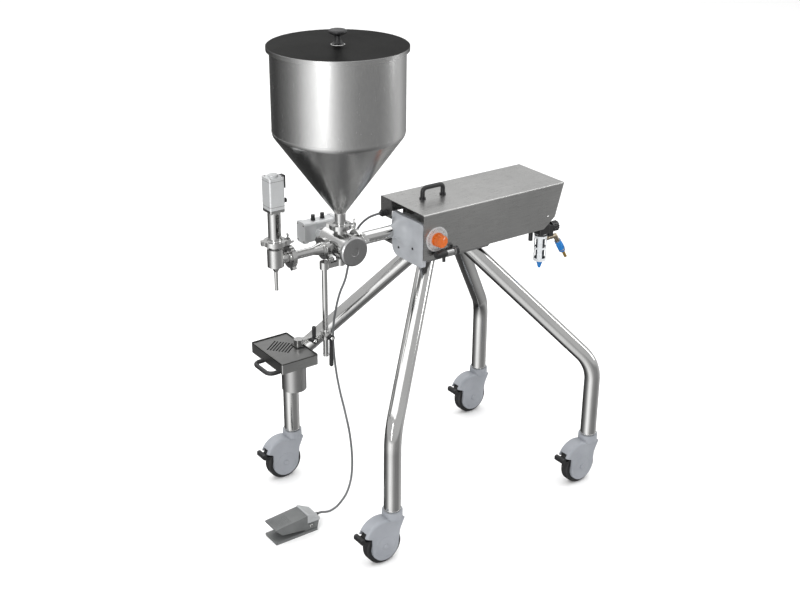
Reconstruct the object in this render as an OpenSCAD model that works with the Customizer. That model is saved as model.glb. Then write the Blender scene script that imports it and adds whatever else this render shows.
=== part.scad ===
// Semi-automatic piston filling machine on a wheeled four-leg stand.
// A hopper feeds a three-way valve. An air cylinder moves the metering piston behind it,
// and the product leaves through a shut-off nozzle over a height-adjustable tray.
// Frame of reference: +Z up, floor at Z = 0, the nozzle end towards -X, the air inlet end towards +X.

/* [Stand] */
// Outer diameter of the four leg tubes
leg_d = 50.8; // [42:0.2:56]
// Wall of the leg tubes
leg_wall = 2; // [1.5:0.5:4]
// Distance across the stand between the front and between the rear castor stems
track_w = 576; // [480:4:680]
// Distance along the stand between the front and rear castor stems
wheel_base = 786; // [700:2:880]
// How far the front castor stems stand in front of the hopper axis
front_foot_set = 14.5; // [0:0.5:60]
// Height of the lower ends of the leg tubes
leg_low_z = 170; // [165:1:220]
// Height at which the centre lines of the legs turn inward
knee_z = 420; // [360:5:480]
// Centre line radius of the bend in each leg
knee_r = 130; // [90:5:180]
// Underside of the base plate, where the legs end
plate_z = 837; // [800:1:880]
// Where the front legs meet the base plate, behind the hopper axis
front_top_x = 308; // [290:1:330]
// Where the rear legs meet the base plate, behind the hopper axis
rear_top_x = 431; // [410:1:440]
// Sideways distance of the front leg tops from the middle
front_top_y = 16; // [4:1:30]
// Sideways distance of the rear leg tops from the middle
rear_top_y = 8; // [4:1:30]

/* [Castors] */
// Wheel diameter
wheel_d = 120; // [100:1:125]
// Tread width
wheel_w = 30; // [24:1:34]
// Distance of the axle behind the swivel stem
trail = 38; // [28:1:44]
// Thickness of the tread over the hub
tread_t = 13; // [8:1:16]
// Axle diameter
axle_d = 10; // [8:1:14]
// Swivel pin diameter
swivel_d = 12; // [10:1:16]
// Wall of the castor hoods beside the wheel
hood_wall = 6; // [4:0.5:8]
// Free space between wheel and hood
hood_gap = 2; // [1.5:0.5:3]

/* [Drive housing] */
// Front end of the housing behind the hopper axis
house_x = 218; // [210:1:230]
// Length of the housing at its top
house_len = 544; // [500:2:620]
// Width of the housing
house_w = 221.4; // [200:0.2:240]
// Height of the housing above the base plate
house_h = 142; // [130:1:170]
// Sheet thickness of the housing
sheet_t = 2; // [1.5:0.5:3]
// Thickness of the base plate
base_t = 6; // [4:1:10]
// Length of the base plate
base_len = 250; // [235:1:330]
// Height of the handle on the housing
grip_h = 34; // [28:1:60]
// Distance between the feet of the handle
grip_len = 76; // [60:1:110]
// Thickness of the handle bar
grip_d = 14; // [10:1:18]

/* [Metering] */
// Height of the metering cylinder and valve axis
axis_z = 911; // [905:1:917]
// Outer diameter of the metering cylinder and the product pipes
pipe_d = 38.1; // [34:0.1:42]
// Wall of the metering cylinder and pipes
pipe_wall = 1.6; // [1:0.1:2.5]
// Stroke of the metering piston
stroke = 90; // [40:5:100]
// Diameter of the piston rod
rod_d = 16; // [12:1:18]
// Bore of the air cylinder
air_bore = 63; // [50:1:66]
// Radial running clearance of turning and sliding pieces
run_gap = 0.05; // [0.02:0.01:0.1]

/* [Valve] */
// Outer diameter of the valve body
valve_d = 78; // [72:1:84]
// Plug diameter
plug_d = 52; // [48:1:54]
// Reach of the valve body to the near side of the axis
valve_near = 66; // [58:1:72]
// Reach of the valve body to the far side of the axis
valve_far = 60; // [54:1:66]
// Diameter of the valve cover
cover_d = 88; // [82:1:100]
// Distance from the valve axis to the face of its side and top ports
port_reach = 56; // [52:1:62]
// Diameter of the clamp ferrules
ferrule_d = 50.5; // [48:0.5:54]
// Outer diameter of the pipe clamps
clamp_d = 65; // [62:0.5:70]

/* [Hopper] */
// Inner diameter of the hopper
hopper_d = 370; // [320:2:420]
// Wall of the hopper
hopper_wall = 2; // [1.5:0.5:4]
// Height of the hopper rim
rim_z = 1488; // [1430:2:1560]
// Height at which the cone meets the upright wall
cone_z = 1246; // [1220:2:1280]
// Height at which the cone meets the neck
neck_z = 1008; // [1002:1:1020]
// Inner diameter of the neck
neck_d = 29; // [24:1:32]

/* [Nozzle] */
// Distance of the nozzle in front of the hopper axis
nozzle_reach = 216; // [205:1:230]
// Height of the needle tip
needle_z = 819; // [790:1:840]
// Needle diameter
needle_d = 10.6; // [8:0.2:14]
// Diameter of the nozzle body
nozzle_d = 47; // [44:0.5:50]
// Height of the nozzle body's lower end
nozzle_low_z = 893; // [880:1:898]
// Height of the joint between nozzle body and lantern
nozzle_joint_z = 965; // [960:1:972]
// Height of the underside of the nozzle's air cylinder
lantern_top_z = 1066; // [1052:1:1074]
// Side of the square air cylinder on the nozzle
block_w = 47; // [42:1:54]
// Height of the air cylinder on the nozzle
block_h = 91; // [70:1:110]

/* [Tray] */
// Diameter of the upright rod that carries the tray
post_d = 16.4; // [14:0.2:20]
// Distance of the rod in front of the hopper axis
post_reach = 56; // [50:1:62]
// How far the rod reaches below the tray surface
post_below = 58; // [40:1:90]
// Height of the tray surface
tray_z = 624; // [612:1:640]
// Length of the tray along the machine
tray_l = 120; // [100:1:130]
// Width of the tray across the machine
tray_w = 178; // [140:1:200]
// Height of the tray rim and sides
tray_h = 32; // [24:1:40]

/* [Air unit] */
// Distance of the filter bowl axis behind the hopper axis
filter_x = 700; // [690:1:706]
// Sideways place of the air unit
filter_y = -84; // [-88:1:-80]
// Diameter of the filter bowl guard
bowl_d = 40; // [34:1:44]
// Length of the filter bowl
bowl_len = 93; // [80:1:110]

/* [Pedal] */
// Width of the foot pedal
pedal_w = 67; // [56:1:80]
// Length of the foot pedal base
pedal_l = 147; // [130:1:170]
// Front end of the pedal base in front of the hopper axis
pedal_reach = 275; // [260:1:300]
// Sideways place of the pedal's middle
pedal_y = -14; // [-30:1:-4]
// Diameter of the air line to the pedal
hose_d = 7; // [6:0.5:8]

/* [Hidden] */

// Shared values. over lets a cutting shape pass a face, face_gap keeps moving faces apart
over = 1;
face_gap = 0.3;
smooth = 96;
fine = 48;
small = 32;
arc_steps = 8;

// Stand
leg_r = leg_d / 2;
leg_in_r = leg_r - leg_wall;
foot_y = track_w / 2;
front_foot_x = -front_foot_set;
rear_foot_x = wheel_base - front_foot_set;
base_top = plate_z + base_t;
base_end = house_x + base_len;
weld_gap = 0.02;
stem_plug_len = 34;
stem_flange_t = 4;
stem_z = leg_low_z - stem_flange_t;
rail_w = 10;
rail_h = 18;
rail_end = house_x + 456;
service_hole_r = 11;

// Castors, each drawn with its swivel axis at the origin and its axle towards -X
wheel_r = wheel_d / 2;
hub_r = wheel_r - tread_t;
axle_r = axle_d / 2;
swivel_r = swivel_d / 2;
hood_h = leg_low_z - stem_flange_t - face_gap;
hood_w = wheel_w + 2 * (hood_gap + hood_wall);
hood_in_w = wheel_w + 2 * hood_gap;
hood_r = 67;
hood_fwd = 7;
hood_rise = 25;
hood_side_r = 46;
hood_edge = 9;
hood_neck_r = 31;
hood_neck_h = 24;
hood_ear = 30;
hood_back_x = 13;
hood_back_z = hood_h - 62;
hood_lip_z = hood_h - 63;
hood_lip_rise = 2;
hood_lip_angle = 158;
hood_top_angle = 60;
hood_arch_r = wheel_r + hood_gap + 1;
swivel_len = 26;
axle_head_r = 8;
axle_head_t = 2.5;
hub_rim_t = 5;
hub_web_t = 9;
hub_boss_r = 14;
tread_edge = 5;
brake_pin_r = 3;
brake_pin_x = 92;
brake_pin_z = hood_h - 55;
brake_boss_r = 6;
brake_boss_w = 26;
brake_w = hood_w - 6;
brake_slot_w = brake_boss_w + 4 * face_gap;
brake_slot_x = 80;
brake_slot_z = hood_h - 44;
brake_bar_z = hood_h - 66.5;
brake_top_z = hood_h - 54;
brake_tab_x = 111;
brake_reach = 124;
brake_t = 11;

// Housing
house_half = house_w / 2;
house_top = base_top + house_h;
house_end = house_x + house_len;
house_fold = 4;
rear_lean = 31;
rear_panel_z = base_top + 34;
rear_foot_cut = 75;
far_cut_len = 82;
far_cut_z = base_top + 82;
gland_y = 80;
gland_z = base_top + 97;
gland_plate_y = 54;
gland_hole_r = 8;
grip_x = house_x + 84;
grip_y = 12;
grip_turn = 14;
grip_foot_r = 10;
grip_foot_t = 4;
dial_x = house_x + 48;
dial_z = base_top + 60;
dial_plate_r = 38;
dial_plate_t = 2;
knob_r = 19;
knob_len = 26;
knob_skirt_r = 21;
knob_skirt_t = 5;
knob_shaft_r = 5;
knob_shaft_len = 16;
knob_flutes = 12;
knob_flute_r = 3;
throttle_x = house_x + 34;
throttle_y = -house_half - 15;
throttle_z = base_top + 16;
throttle_body_len = 38;
throttle_body_r = 10;
throttle_sleeve_len = 30;
throttle_sleeve_r = 8;
throttle_knob_r = 14;
throttle_knob_t = 10;
throttle_stem_r = 3;
throttle_port_x = throttle_x + 30;
throttle_port_len = 26;

// Drive and metering
pipe_r = pipe_d / 2;
pipe_in_r = pipe_r - pipe_wall;
rod_r = rod_d / 2;
flange_t = 12;
flange_back = house_x + flange_t;
flange_near = 106;
flange_far = 50;
flange_low = 20;
flange_rise = 44;
flange_corner = 10;
flange_big_corner = 30;
flare_r = 44;
flange_bolt_r = 4;
flange_bolt_a = [16, 9];
flange_bolt_b = [-55, 28];
drive_w = 75;
drive_corner = 10;
drive_cap_t = 24;
drive_wall = 4;
drive_r = air_bore / 2 + drive_wall;
drive_free = 3;
air_piston_t = 16;
piston_t = 18;
piston_free = 4;
drive_bore_x = flange_back + drive_cap_t;
drive_bore_len = 2 * drive_free + air_piston_t + stroke;
ferrule_r = ferrule_d / 2;
ferrule_edge = 2.9;
ferrule_slope = 2.2;
gasket_t = 1.6;

// Valve
valve_r = valve_d / 2;
plug_r = plug_d / 2;
plug_y = 45;
plug_bore_r = 15.5;
stem_r = 7;
cover_r = cover_d / 2;
cover_t = 12;
cover_step = 4;
cover_boss_r = 12;
port_top = axis_z + port_reach;
rear_collar_r = 24;
rear_collar_t = 8;
actuator_y = 100;
actuator_w = 47;
actuator_h = 65;
actuator_len = 116;
actuator_cap_t = 12;
actuator_lift = 9;
actuator_corner = 8;
yoke_w = 40;
yoke_wall = 6;
actuator_top = axis_z + actuator_lift + actuator_h / 2;

// Hopper
hopper_r = hopper_d / 2;
neck_r = neck_d / 2;
neck_wall = 1.5;
shoulder_r = 22;
rim_r = 3.5;
lid_over = 11;
lid_t = 3;
lid_skirt = 9;
lid_r = hopper_r + lid_over;
lid_z = rim_z + face_gap;
lid_knob_h = 47;
lid_knob_r = 25.6;
lid_knob_waist = 9;
lid_knob_foot = 17;

// Outlet pipe
outlet_start = -port_reach - gasket_t;
thin_r = 11;
thin_wall = 1.6;
reducer_len = 36;
nozzle_port_reach = 46;
nozzle_x = -nozzle_reach;
nozzle_port_x = nozzle_x + nozzle_port_reach;
outlet_end = nozzle_port_x + gasket_t;

// Clamps
clamp_r = clamp_d / 2;
clamp_w = 13;
clamp_split = 7;
clamp_lug_w = 16;
clamp_lug_h = 15;
clamp_bolt_r = 3;
clamp_bolt_len = 34;
wing_r = 6;
wing_h = 10;
wing_reach = 17;
wing_t = 3;

// Nozzle
nozzle_r = nozzle_d / 2;
nozzle_bore_r = 12;
nozzle_taper_h = 17;
nozzle_taper_r = 15;
nozzle_shoulder = 18;
needle_r = needle_d / 2;
needle_wall = 1.2;
port_small_r = 15;
plunger_r = 5;
plunger_seat_r = 9;
plunger_piston_r = 17;
lantern_r = 18.35;
lantern_in_r = 14.5;
lantern_guide_t = 9;
lantern_foot_t = 8;
lantern_slot_w = 11;
block_corner = 5;
block_cap_r = 14;
block_cap_t = 6;
block_floor = 10;

// Air fittings
fit_r = 6.5;
fit_len = 16;
connector_l = 11;
connector_w = 18;
connector_h = 36;
gland_r = 11;
gland_len = 18;

// Tray and its rod
post_r = post_d / 2;
post_x = -post_reach;
post_top_z = axis_z - 43;
post_low_z = tray_z - post_below;
bracket_r = 14;
bracket_h = 22;
bracket_arm_t = 15;
bracket_arm_w = 14;
bracket_pad = 26;
arm_hub_r = 15;
arm_hub_h = 26;
arm_lift = 6;
arm_t = 14;
arm_w = 18;
arm_end_r = 14;
arm_end_x = -150;
lever_axis_x = -106;
tray_end_x = -134;
tray_front_x = tray_end_x - tray_l;
tray_y = 6;
tray_wall = 2;
tray_deck = 3;
tray_corner = 4;
slot_count = 8;
slot_w = 4;
slot_len = 62;
slot_pitch = 9;
slot_angle = 38;
seat_len = 31;
cup_r = 36;
cup_h = 90;
cup_x = -180;
cup_y = -20;
bow_len = 100;
bow_reach = 33;
bow_r = 6.5;
bow_y = -20;
bow_drop = 27;
lever_head_r = 9;
lever_head_t = 14;
lever_len = 88;
lever_short = 40;
lever_tip_r = 6.5;
lever_pin_r = 4;

// Air unit
bowl_r = bowl_d / 2;
bowl_top = base_top - 22;
bowl_wall = 2;
bowl_window_w = 15;
plug_fit_x = filter_x - 43;
plug_fit_r = 7;
plug_fit_low = base_top - 39;
plug_fit_len = 56;
head_w = 42;
head_h = 30;
regulator_l = 16;
regulator_w = 34;
regulator_h = 36;
regulator_drop = 14;
regulator_knob_r = 17;
regulator_knob_len = 26;
drain_len = 26;
drain_r = 12;
coupling_lean = 32;
coupling_x = filter_x + 61;
elbow_x = filter_x + 29;
elbow_drop = 10;
coupling_share = [0.23, 0.69];
coupling_len = 98;
coupling_r = 11;
coupling_tip_r = 5;
elbow_r = 7.5;

// Pedal
pedal_front = -pedal_reach;
pedal_back = pedal_front + pedal_l;
pedal_floor = 9;
pedal_wall = 3;
pedal_inner_w = pedal_w - 2 * pedal_wall - 4 * face_gap;
hinge_x = pedal_back - 22;
hinge_z = 24;
hinge_r = 4;
hinge_eye_r = 10;
block_front_x = pedal_back - 44;
cap_front_x = pedal_back - 35;
cap_back_x = pedal_back + 9;
cap_low_z = 36;
cap_back_z = 45;
cap_top_z = 66;
treadle_t = 5;
treadle_front_z = 54;
treadle_rear_z = 63;
skirt_cut_x = pedal_front + 22;
skirt_cut_z = 28;
skirt_rear_z = 14;
skirt_top_z = 33;
inlet_z = 34;
inlet_r = 7;
inlet_len = 14;

// Free air line from the housing to the pedal, centre points chosen along its hang
hose_r = hose_d / 2;
hose_sides = 8;
hose_points = [
    [200, 80, 940], [180, 80, 940], [150, 84, 932], [118, 86, 908], [94, 82, 868], [78, 74, 820],
    [58, 66, 764], [34, 62, 722], [18, 60, 672], [8, 60, 610], [8, 58, 540], [14, 56, 470],
    [24, 52, 400], [38, 44, 320], [48, 34, 240], [50, 26, 160], [42, 20, 96], [20, 14, 48],
    [-16, 6, 22], [-50, -4, 19], [-74, -11, 26], [-94, -14, 34], [-112, -14, 34]
];

// Place of the origin under the middle of the machine
coupling_end_x = coupling_x + coupling_len * sin(coupling_lean) + coupling_tip_r * cos(coupling_lean);
bow_front_x = tray_front_x - bow_reach - bow_r;
origin_x = (coupling_end_x + bow_front_x) / 2;

// Points of a polygon whose corners [x, y, radius] are rounded by arcs
function unit(v) = v / norm(v);
function corner_arc(a, p, b, r) =
    let(u = unit([a[0] - p[0], a[1] - p[1]]), w = unit([b[0] - p[0], b[1] - p[1]]))
    let(half = acos(u * w) / 2, c = [p[0], p[1]] + unit(u + w) * r / sin(half))
    let(s = [p[0], p[1]] + u * r / tan(half) - c, e = [p[0], p[1]] + w * r / tan(half) - c)
    let(t0 = atan2(s[1], s[0]), raw = atan2(e[1], e[0]) - t0)
    let(turn = raw > 180 ? raw - 360 : (raw < -180 ? raw + 360 : raw))
    [for (i = [0 : arc_steps]) c + r * [cos(t0 + turn * i / arc_steps), sin(t0 + turn * i / arc_steps)]];
function rounded(pts) = [
    for (i = [0 : len(pts) - 1])
        let(p = pts[i], a = pts[(i + len(pts) - 1) % len(pts)], b = pts[(i + 1) % len(pts)])
        each (p[2] > 0 ? corner_arc(a, p, b, p[2]) : [[p[0], p[1]]])
];

// Moves the whole machine so that its origin lies under its middle
module placed() {
    translate([-origin_x, 0, 0]) children();
}

// A cylinder along X that starts at x
module x_cylinder(x, r, len, fn = fine) {
    translate([x, 0, 0]) rotate([0, 90, 0]) cylinder(r = r, h = len, $fn = fn);
}

// A cylinder along Y that starts at y
module y_cylinder(y, r, len, fn = fine) {
    translate([0, y, 0]) rotate([-90, 0, 0]) cylinder(r = r, h = len, $fn = fn);
}

// A rectangle with true round corners, centred
module soft_square(w, d, r) {
    square([w - 2 * r, d], center = true);
    square([w, d - 2 * r], center = true);
    for (sx = [-1, 1], sy = [-1, 1]) translate([sx * (w / 2 - r), sy * (d / 2 - r)])
        circle(r = r, $fn = small);
}

// A block with round upright edges, standing at z
module soft_block(w, d, h, r, z = 0) {
    translate([0, 0, z]) linear_extrude(h) soft_square(w, d, r);
}

// An XZ outline given as polygon points, extruded over a width centred on Y
module side_plate(pts, w) {
    rotate([90, 0, 0]) linear_extrude(w, center = true) polygon(pts);
}

// A YZ outline extruded along X from x
module cross_plate(pts, x, len) {
    translate([x, 0, 0]) rotate([90, 0, 90]) linear_extrude(len) polygon(pts);
}

// A bent leg on the +Y side: an upright tube, a bend and a slanting tube, welded end to end
module tube(r, r_in, h) {
    difference() {
        cylinder(r = r, h = h, $fn = fine);
        translate([0, 0, -over]) cylinder(r = r_in, h = h + 2 * over, $fn = fine);
    }
}

module leg(foot_x, top_x, top_y, side) {
    run = [top_x - foot_x, top_y - foot_y];
    slant = atan2(norm(run), plate_z - knee_z);
    tangent = knee_r * tan(slant / 2);
    reach = norm([norm(run), plate_z - knee_z]) - tangent;
    mirror([0, side < 0 ? 1 : 0, 0]) {
        translate([foot_x, foot_y, 0]) rotate([0, 0, atan2(run[1], run[0])]) {
            translate([0, 0, leg_low_z]) tube(leg_r, leg_in_r, knee_z - tangent - leg_low_z - weld_gap);
            translate([knee_r, 0, knee_z - tangent]) rotate([90, 0, 0]) rotate([0, 0, 180 - slant])
                rotate_extrude(angle = slant, $fn = smooth) translate([knee_r, 0]) difference() {
                    circle(r = leg_r, $fn = fine);
                    circle(r = leg_in_r, $fn = fine);
                }
        }
        difference() {
            translate([foot_x, foot_y, 0]) rotate([0, 0, atan2(run[1], run[0])])
                translate([knee_r * (1 - cos(slant)), 0, knee_z - tangent + knee_r * sin(slant)])
                rotate([0, slant, 0]) translate([0, 0, weld_gap]) tube(leg_r, leg_in_r, reach + 2 * leg_d);
            translate([foot_x - wheel_base, -track_w, plate_z]) cube([2 * wheel_base, 2 * track_w, plate_z]);
            translate([foot_x - wheel_base, -track_w, 0]) cube([2 * wheel_base, track_w, 2 * plate_z]);
        }
    }
}

module front_leg_left() {
    color("silver") leg(front_foot_x, front_top_x, front_top_y, -1);
}

module front_leg_right() {
    color("silver") leg(front_foot_x, front_top_x, front_top_y, 1);
}

module rear_leg_left() {
    color("silver") leg(rear_foot_x, rear_top_x, rear_top_y, -1);
}

module rear_leg_right() {
    color("silver") leg(rear_foot_x, rear_top_x, rear_top_y, 1);
}

// Base plate with the two rails and the rear bar that carry the housing cover and the air unit
module chassis() {
    color("gray") {
        difference() {
            side_plate([[flange_back, plate_z], [base_end - base_t, plate_z], [base_end, base_top],
                [flange_back, base_top]], house_w);
            translate([flange_back + rail_w + service_hole_r, house_half - 4 * service_hole_r,
                plate_z - over])
                cylinder(r = service_hole_r, h = base_t + 2 * over, $fn = fine);
        }
        for (s = [-1, 1]) translate([flange_back, s * (house_half - sheet_t - rail_w / 2) - rail_w / 2,
            base_top])
            cube([rail_end - flange_back, rail_w, rail_h]);
        translate([rail_end - rail_w, -house_half + sheet_t + rail_w, base_top])
            cube([rail_w, house_w - 2 * sheet_t - 2 * rail_w, rail_h]);
    }
}

// Plugs in the leg ends, with the swivel pins of the castors
module castor_stems() {
    color("silver") for (x = [front_foot_x, rear_foot_x], s = [-1, 1]) translate([x, s * foot_y, 0]) {
        translate([0, 0, stem_z]) cylinder(r = leg_r, h = stem_flange_t, $fn = fine);
        translate([0, 0, leg_low_z]) cylinder(r = leg_in_r - run_gap, h = stem_plug_len, $fn = fine);
        translate([0, 0, hood_h - swivel_len]) cylinder(r = swivel_r, h = swivel_len + face_gap, $fn = fine);
    }
}

// Side outline of a castor hood: back edge, front lip and the long arch over the wheel
hood_outline = concat(
    [[hood_ear, hood_h - hood_neck_h], [hood_back_x, hood_back_z], [-trail, wheel_r],
        [-trail - hood_side_r, wheel_r],
        [-trail - hood_side_r, hood_lip_z - hood_lip_rise]],
    [for (i = [0 : arc_steps]) let(a = hood_lip_angle + (hood_top_angle - hood_lip_angle) * i / arc_steps)
        [-trail - hood_fwd + (hood_r + over) * cos(a), wheel_r + hood_rise + (hood_r + over) * sin(a)]]
);

module castor_hood() {
    color([0.68, 0.71, 0.75]) {
        difference() {
            union() {
                intersection() {
                    side_plate(hood_outline, hood_w);
                    translate([-trail - hood_fwd, 0, wheel_r + hood_rise]) rotate([90, 0, 0])
                        rotate_extrude($fn = smooth) polygon(rounded([
                            [0, -hood_w / 2, 0], [hood_r, -hood_w / 2, hood_edge],
                                [hood_r, hood_w / 2, hood_edge],
                            [0, hood_w / 2, 0]
                        ]));
                }
                translate([-trail, 0, wheel_r]) y_cylinder(-hood_w / 2, hood_side_r, hood_w, smooth);
                side_plate(rounded([[hood_ear, hood_h - hood_neck_h, 2],
                    [hood_back_x, hood_back_z, hood_neck_r],
                    [hood_side_r - trail - face_gap, wheel_r, 0], [-trail, wheel_r, 0],
                    [-trail, hood_h - hood_neck_h, 0]]), hood_w);
                translate([0, 0, hood_h - hood_neck_h])
                    cylinder(r = hood_neck_r, h = hood_neck_h, $fn = fine);
            }
            translate([-trail, 0, wheel_r]) y_cylinder(-hood_in_w / 2, hood_arch_r, hood_in_w, smooth);
            translate([0, 0, hood_h - swivel_len - over])
                cylinder(r = swivel_r + run_gap, h = swivel_len + 2 * over, $fn = fine);
            translate([-hood_r - trail - hood_side_r, -brake_slot_w / 2, 0])
                cube([hood_r + hood_side_r + trail - brake_slot_x, brake_slot_w, brake_slot_z]);
        }
        translate([-trail, 0, wheel_r]) {
            y_cylinder(-hood_w / 2, axle_r, hood_w);
            y_cylinder(-hood_w / 2 - axle_head_t, axle_head_r, axle_head_t);
            y_cylinder(hood_w / 2, axle_head_r, axle_head_t);
        }
        translate([-brake_pin_x, 0, brake_pin_z])
            y_cylinder(-hood_w / 2 + hood_edge, brake_pin_r, hood_w - 2 * hood_edge);
    }
}

module castor_hub() {
    color("gainsboro") translate([-trail, 0, wheel_r]) rotate([90, 0, 0]) difference() {
        union() {
            difference() {
                cylinder(r = hub_r, h = wheel_w, center = true, $fn = smooth);
                for (s = [-1, 1]) translate([0, 0, s * (wheel_w + hub_web_t) / 2])
                    cylinder(r = hub_r - hub_rim_t, h = wheel_w, center = true, $fn = smooth);
            }
            cylinder(r = hub_boss_r, h = hood_in_w - 2 * face_gap, center = true, $fn = fine);
        }
        cylinder(r = axle_r + run_gap, h = hood_w, center = true, $fn = fine);
    }
}

module castor_tyre() {
    color([0.13, 0.13, 0.13]) translate([-trail, 0, wheel_r]) rotate([90, 0, 0]) rotate_extrude($fn = smooth)
        polygon(rounded([
            [hub_r, -wheel_w / 2, 0], [wheel_r, -wheel_w / 2, tread_edge],
            [wheel_r, wheel_w / 2, tread_edge], [hub_r, wheel_w / 2, 0]
        ]));
}

// Brake lever: a boss on the pin in the hood, a bar under the front lip and a toe tab before it
module castor_brake() {
    color([0.14, 0.14, 0.15]) difference() {
        union() {
            translate([-brake_pin_x, 0, brake_pin_z])
                y_cylinder(-brake_boss_w / 2, brake_boss_r, brake_boss_w);
            side_plate([[-brake_pin_x + brake_boss_r, brake_pin_z],
                [-brake_pin_x - brake_boss_r, brake_pin_z],
                [-brake_tab_x, brake_bar_z - brake_t / 2],
                    [-brake_pin_x + brake_boss_r, brake_bar_z - brake_t / 2]],
                brake_boss_w);
            side_plate(rounded([
                [-brake_pin_x + brake_boss_r, brake_bar_z, brake_t / 8],
                [-brake_tab_x + brake_t / 3, brake_bar_z, brake_t / 4],
                [-brake_tab_x, brake_top_z, brake_t / 3],
                [-brake_reach, brake_top_z, brake_t / 2],
                [-brake_reach, brake_bar_z - brake_t / 4, brake_t / 2],
                [-brake_tab_x, brake_bar_z - 0.9 * brake_t, brake_t / 2],
                [-brake_pin_x + brake_boss_r, brake_bar_z - 0.9 * brake_t, brake_t / 4]
            ]), brake_w);
        }
        translate([-brake_pin_x, 0, brake_pin_z]) y_cylinder(-brake_w, brake_pin_r + run_gap, 2 * brake_w);
        translate([-trail, 0, wheel_r]) y_cylinder(-brake_w, wheel_r + 3 * hood_gap, 2 * brake_w, smooth);
    }
}

module at_castor(i) {
    translate([i < 3 ? front_foot_x : rear_foot_x, i % 2 == 1 ? -foot_y : foot_y, 0]) children();
}

// Sheet cover: an inverted channel with folded edges, a leaning rear panel and a gland plate at the front
module housing_cover() {
    side = [
        [house_x, base_top], [house_end - rear_foot_cut, base_top], [house_end - rear_lean, rear_panel_z],
        [house_end, house_top], [house_x, house_top]
    ];
    color("darkgray") {
        difference() {
            union() {
                intersection() {
                    side_plate(side, house_w);
                    translate([house_x - over, 0, 0]) rotate([90, 0, 90])
                        linear_extrude(house_len + 2 * over) {
                        difference() {
                            union() {
                                translate([-house_half, base_top]) square([house_w, house_h - house_fold]);
                                translate([-house_half + house_fold, base_top])
                                    square([house_w - 2 * house_fold, house_h]);
                                for (s = [-1, 1]) translate([s * (house_half - house_fold),
                                    house_top - house_fold])
                                    circle(r = house_fold, $fn = small);
                            }
                            translate([-house_half + sheet_t, base_top - over])
                                square([house_w - 2 * sheet_t, house_h - sheet_t + over]);
                        }
                    }
                }
                side_plate([[house_end - rear_lean, rear_panel_z], [house_end, house_top],
                    [house_end - sheet_t, house_top], [house_end - rear_lean - sheet_t, rear_panel_z]],
                    house_w - sheet_t);
                translate([house_x, gland_plate_y, far_cut_z])
                    cube([sheet_t, house_half - gland_plate_y - sheet_t / 2,
                        house_top - far_cut_z - sheet_t / 2]);
            }
            translate([house_x - over, house_half - sheet_t - over, base_top - over])
                cube([far_cut_len + over, sheet_t + 2 * over, far_cut_z - base_top + over]);
            translate([0, gland_y, gland_z]) x_cylinder(house_x - over, gland_hole_r, sheet_t + 2 * over);
            translate([dial_x, 0, dial_z])
                y_cylinder(-house_half - over, knob_shaft_r + run_gap, sheet_t + 2 * over);
        }
    }
}

// Cast front plate with the flared seat of the metering cylinder
module front_flange() {
    outline = rounded([
        [-flange_near, plate_z - flange_low, flange_corner],
            [flange_far, plate_z - flange_low, flange_big_corner],
        [flange_far, axis_z + flange_rise, flange_corner],
            [-flange_near, axis_z + flange_rise, flange_corner]
    ]);
    color("lightsteelblue") difference() {
        union() {
            cross_plate(outline, house_x, flange_t);
            intersection() {
                cross_plate(outline, house_x - flare_r, flare_r + over);
                translate([0, 0, axis_z]) rotate([0, 90, 0]) rotate_extrude($fn = smooth) polygon(concat(
                    [[0, house_x - flare_r]],
                    [for (i = [0 : 2 * arc_steps]) let(t = 90 * i / (2 * arc_steps))
                        [pipe_r + flare_r * (1 - cos(t)), house_x - flare_r + flare_r * sin(t)]],
                    [[pipe_r + flare_r, house_x + over], [0, house_x + over]]
                ));
            }
        }
        translate([0, 0, axis_z]) {
            x_cylinder(house_x - flare_r - over, pipe_in_r, flare_r + over);
            x_cylinder(house_x - over, rod_r + run_gap, flange_t + 2 * over);
        }
        for (b = [flange_bolt_a, flange_bolt_b]) translate([0, b[0], plate_z + b[1]])
            x_cylinder(house_x - over, flange_bolt_r, flange_t + 2 * over);
    }
}

// Low bow handle on the cover
module carry_handle() {
    r = grip_d / 2;
    color([0.12, 0.12, 0.12]) translate([grip_x, grip_y, house_top]) {
        for (x = [0, grip_len]) translate([x, 0, 0]) {
            cylinder(r = r, h = grip_h - grip_turn, $fn = small);
            cylinder(r = grip_foot_r, h = grip_foot_t, $fn = small);
        }
        translate([grip_turn, 0, grip_h - grip_turn]) rotate([90, 0, 0]) rotate([0, 0, 90])
            rotate_extrude(angle = 90, $fn = smooth) translate([grip_turn, 0]) circle(r = r, $fn = small);
        translate([grip_len - grip_turn, 0, grip_h - grip_turn]) rotate([90, 0, 0])
            rotate_extrude(angle = 90, $fn = smooth) translate([grip_turn, 0]) circle(r = r, $fn = small);
        translate([0, 0, grip_h]) x_cylinder(grip_turn, r, grip_len - 2 * grip_turn, small);
    }
}

module scale_ring() {
    color("whitesmoke") translate([dial_x, 0, dial_z]) difference() {
        y_cylinder(-house_half - dial_plate_t, dial_plate_r, dial_plate_t, smooth);
        y_cylinder(-house_half - dial_plate_t - over, knob_shaft_r + run_gap, dial_plate_t + 2 * over);
    }
}

// Fluted volume knob on its shaft, turning in the panel
module dial_knob() {
    color("orangered") translate([dial_x, 0, dial_z]) {
        difference() {
            union() {
                y_cylinder(-house_half - dial_plate_t - face_gap - knob_len, knob_r, knob_len);
                y_cylinder(-house_half - dial_plate_t - face_gap - knob_skirt_t, knob_skirt_r, knob_skirt_t);
            }
            for (i = [0 : knob_flutes - 1]) rotate([0, i * 360 / knob_flutes, 0])
                translate([knob_r + knob_flute_r / 2, 0, 0])
                y_cylinder(-house_half - dial_plate_t - knob_len - over, knob_flute_r,
                    knob_len - knob_skirt_t, small);
        }
        y_cylinder(-house_half - dial_plate_t - face_gap, knob_shaft_r, knob_shaft_len);
    }
}

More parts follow.
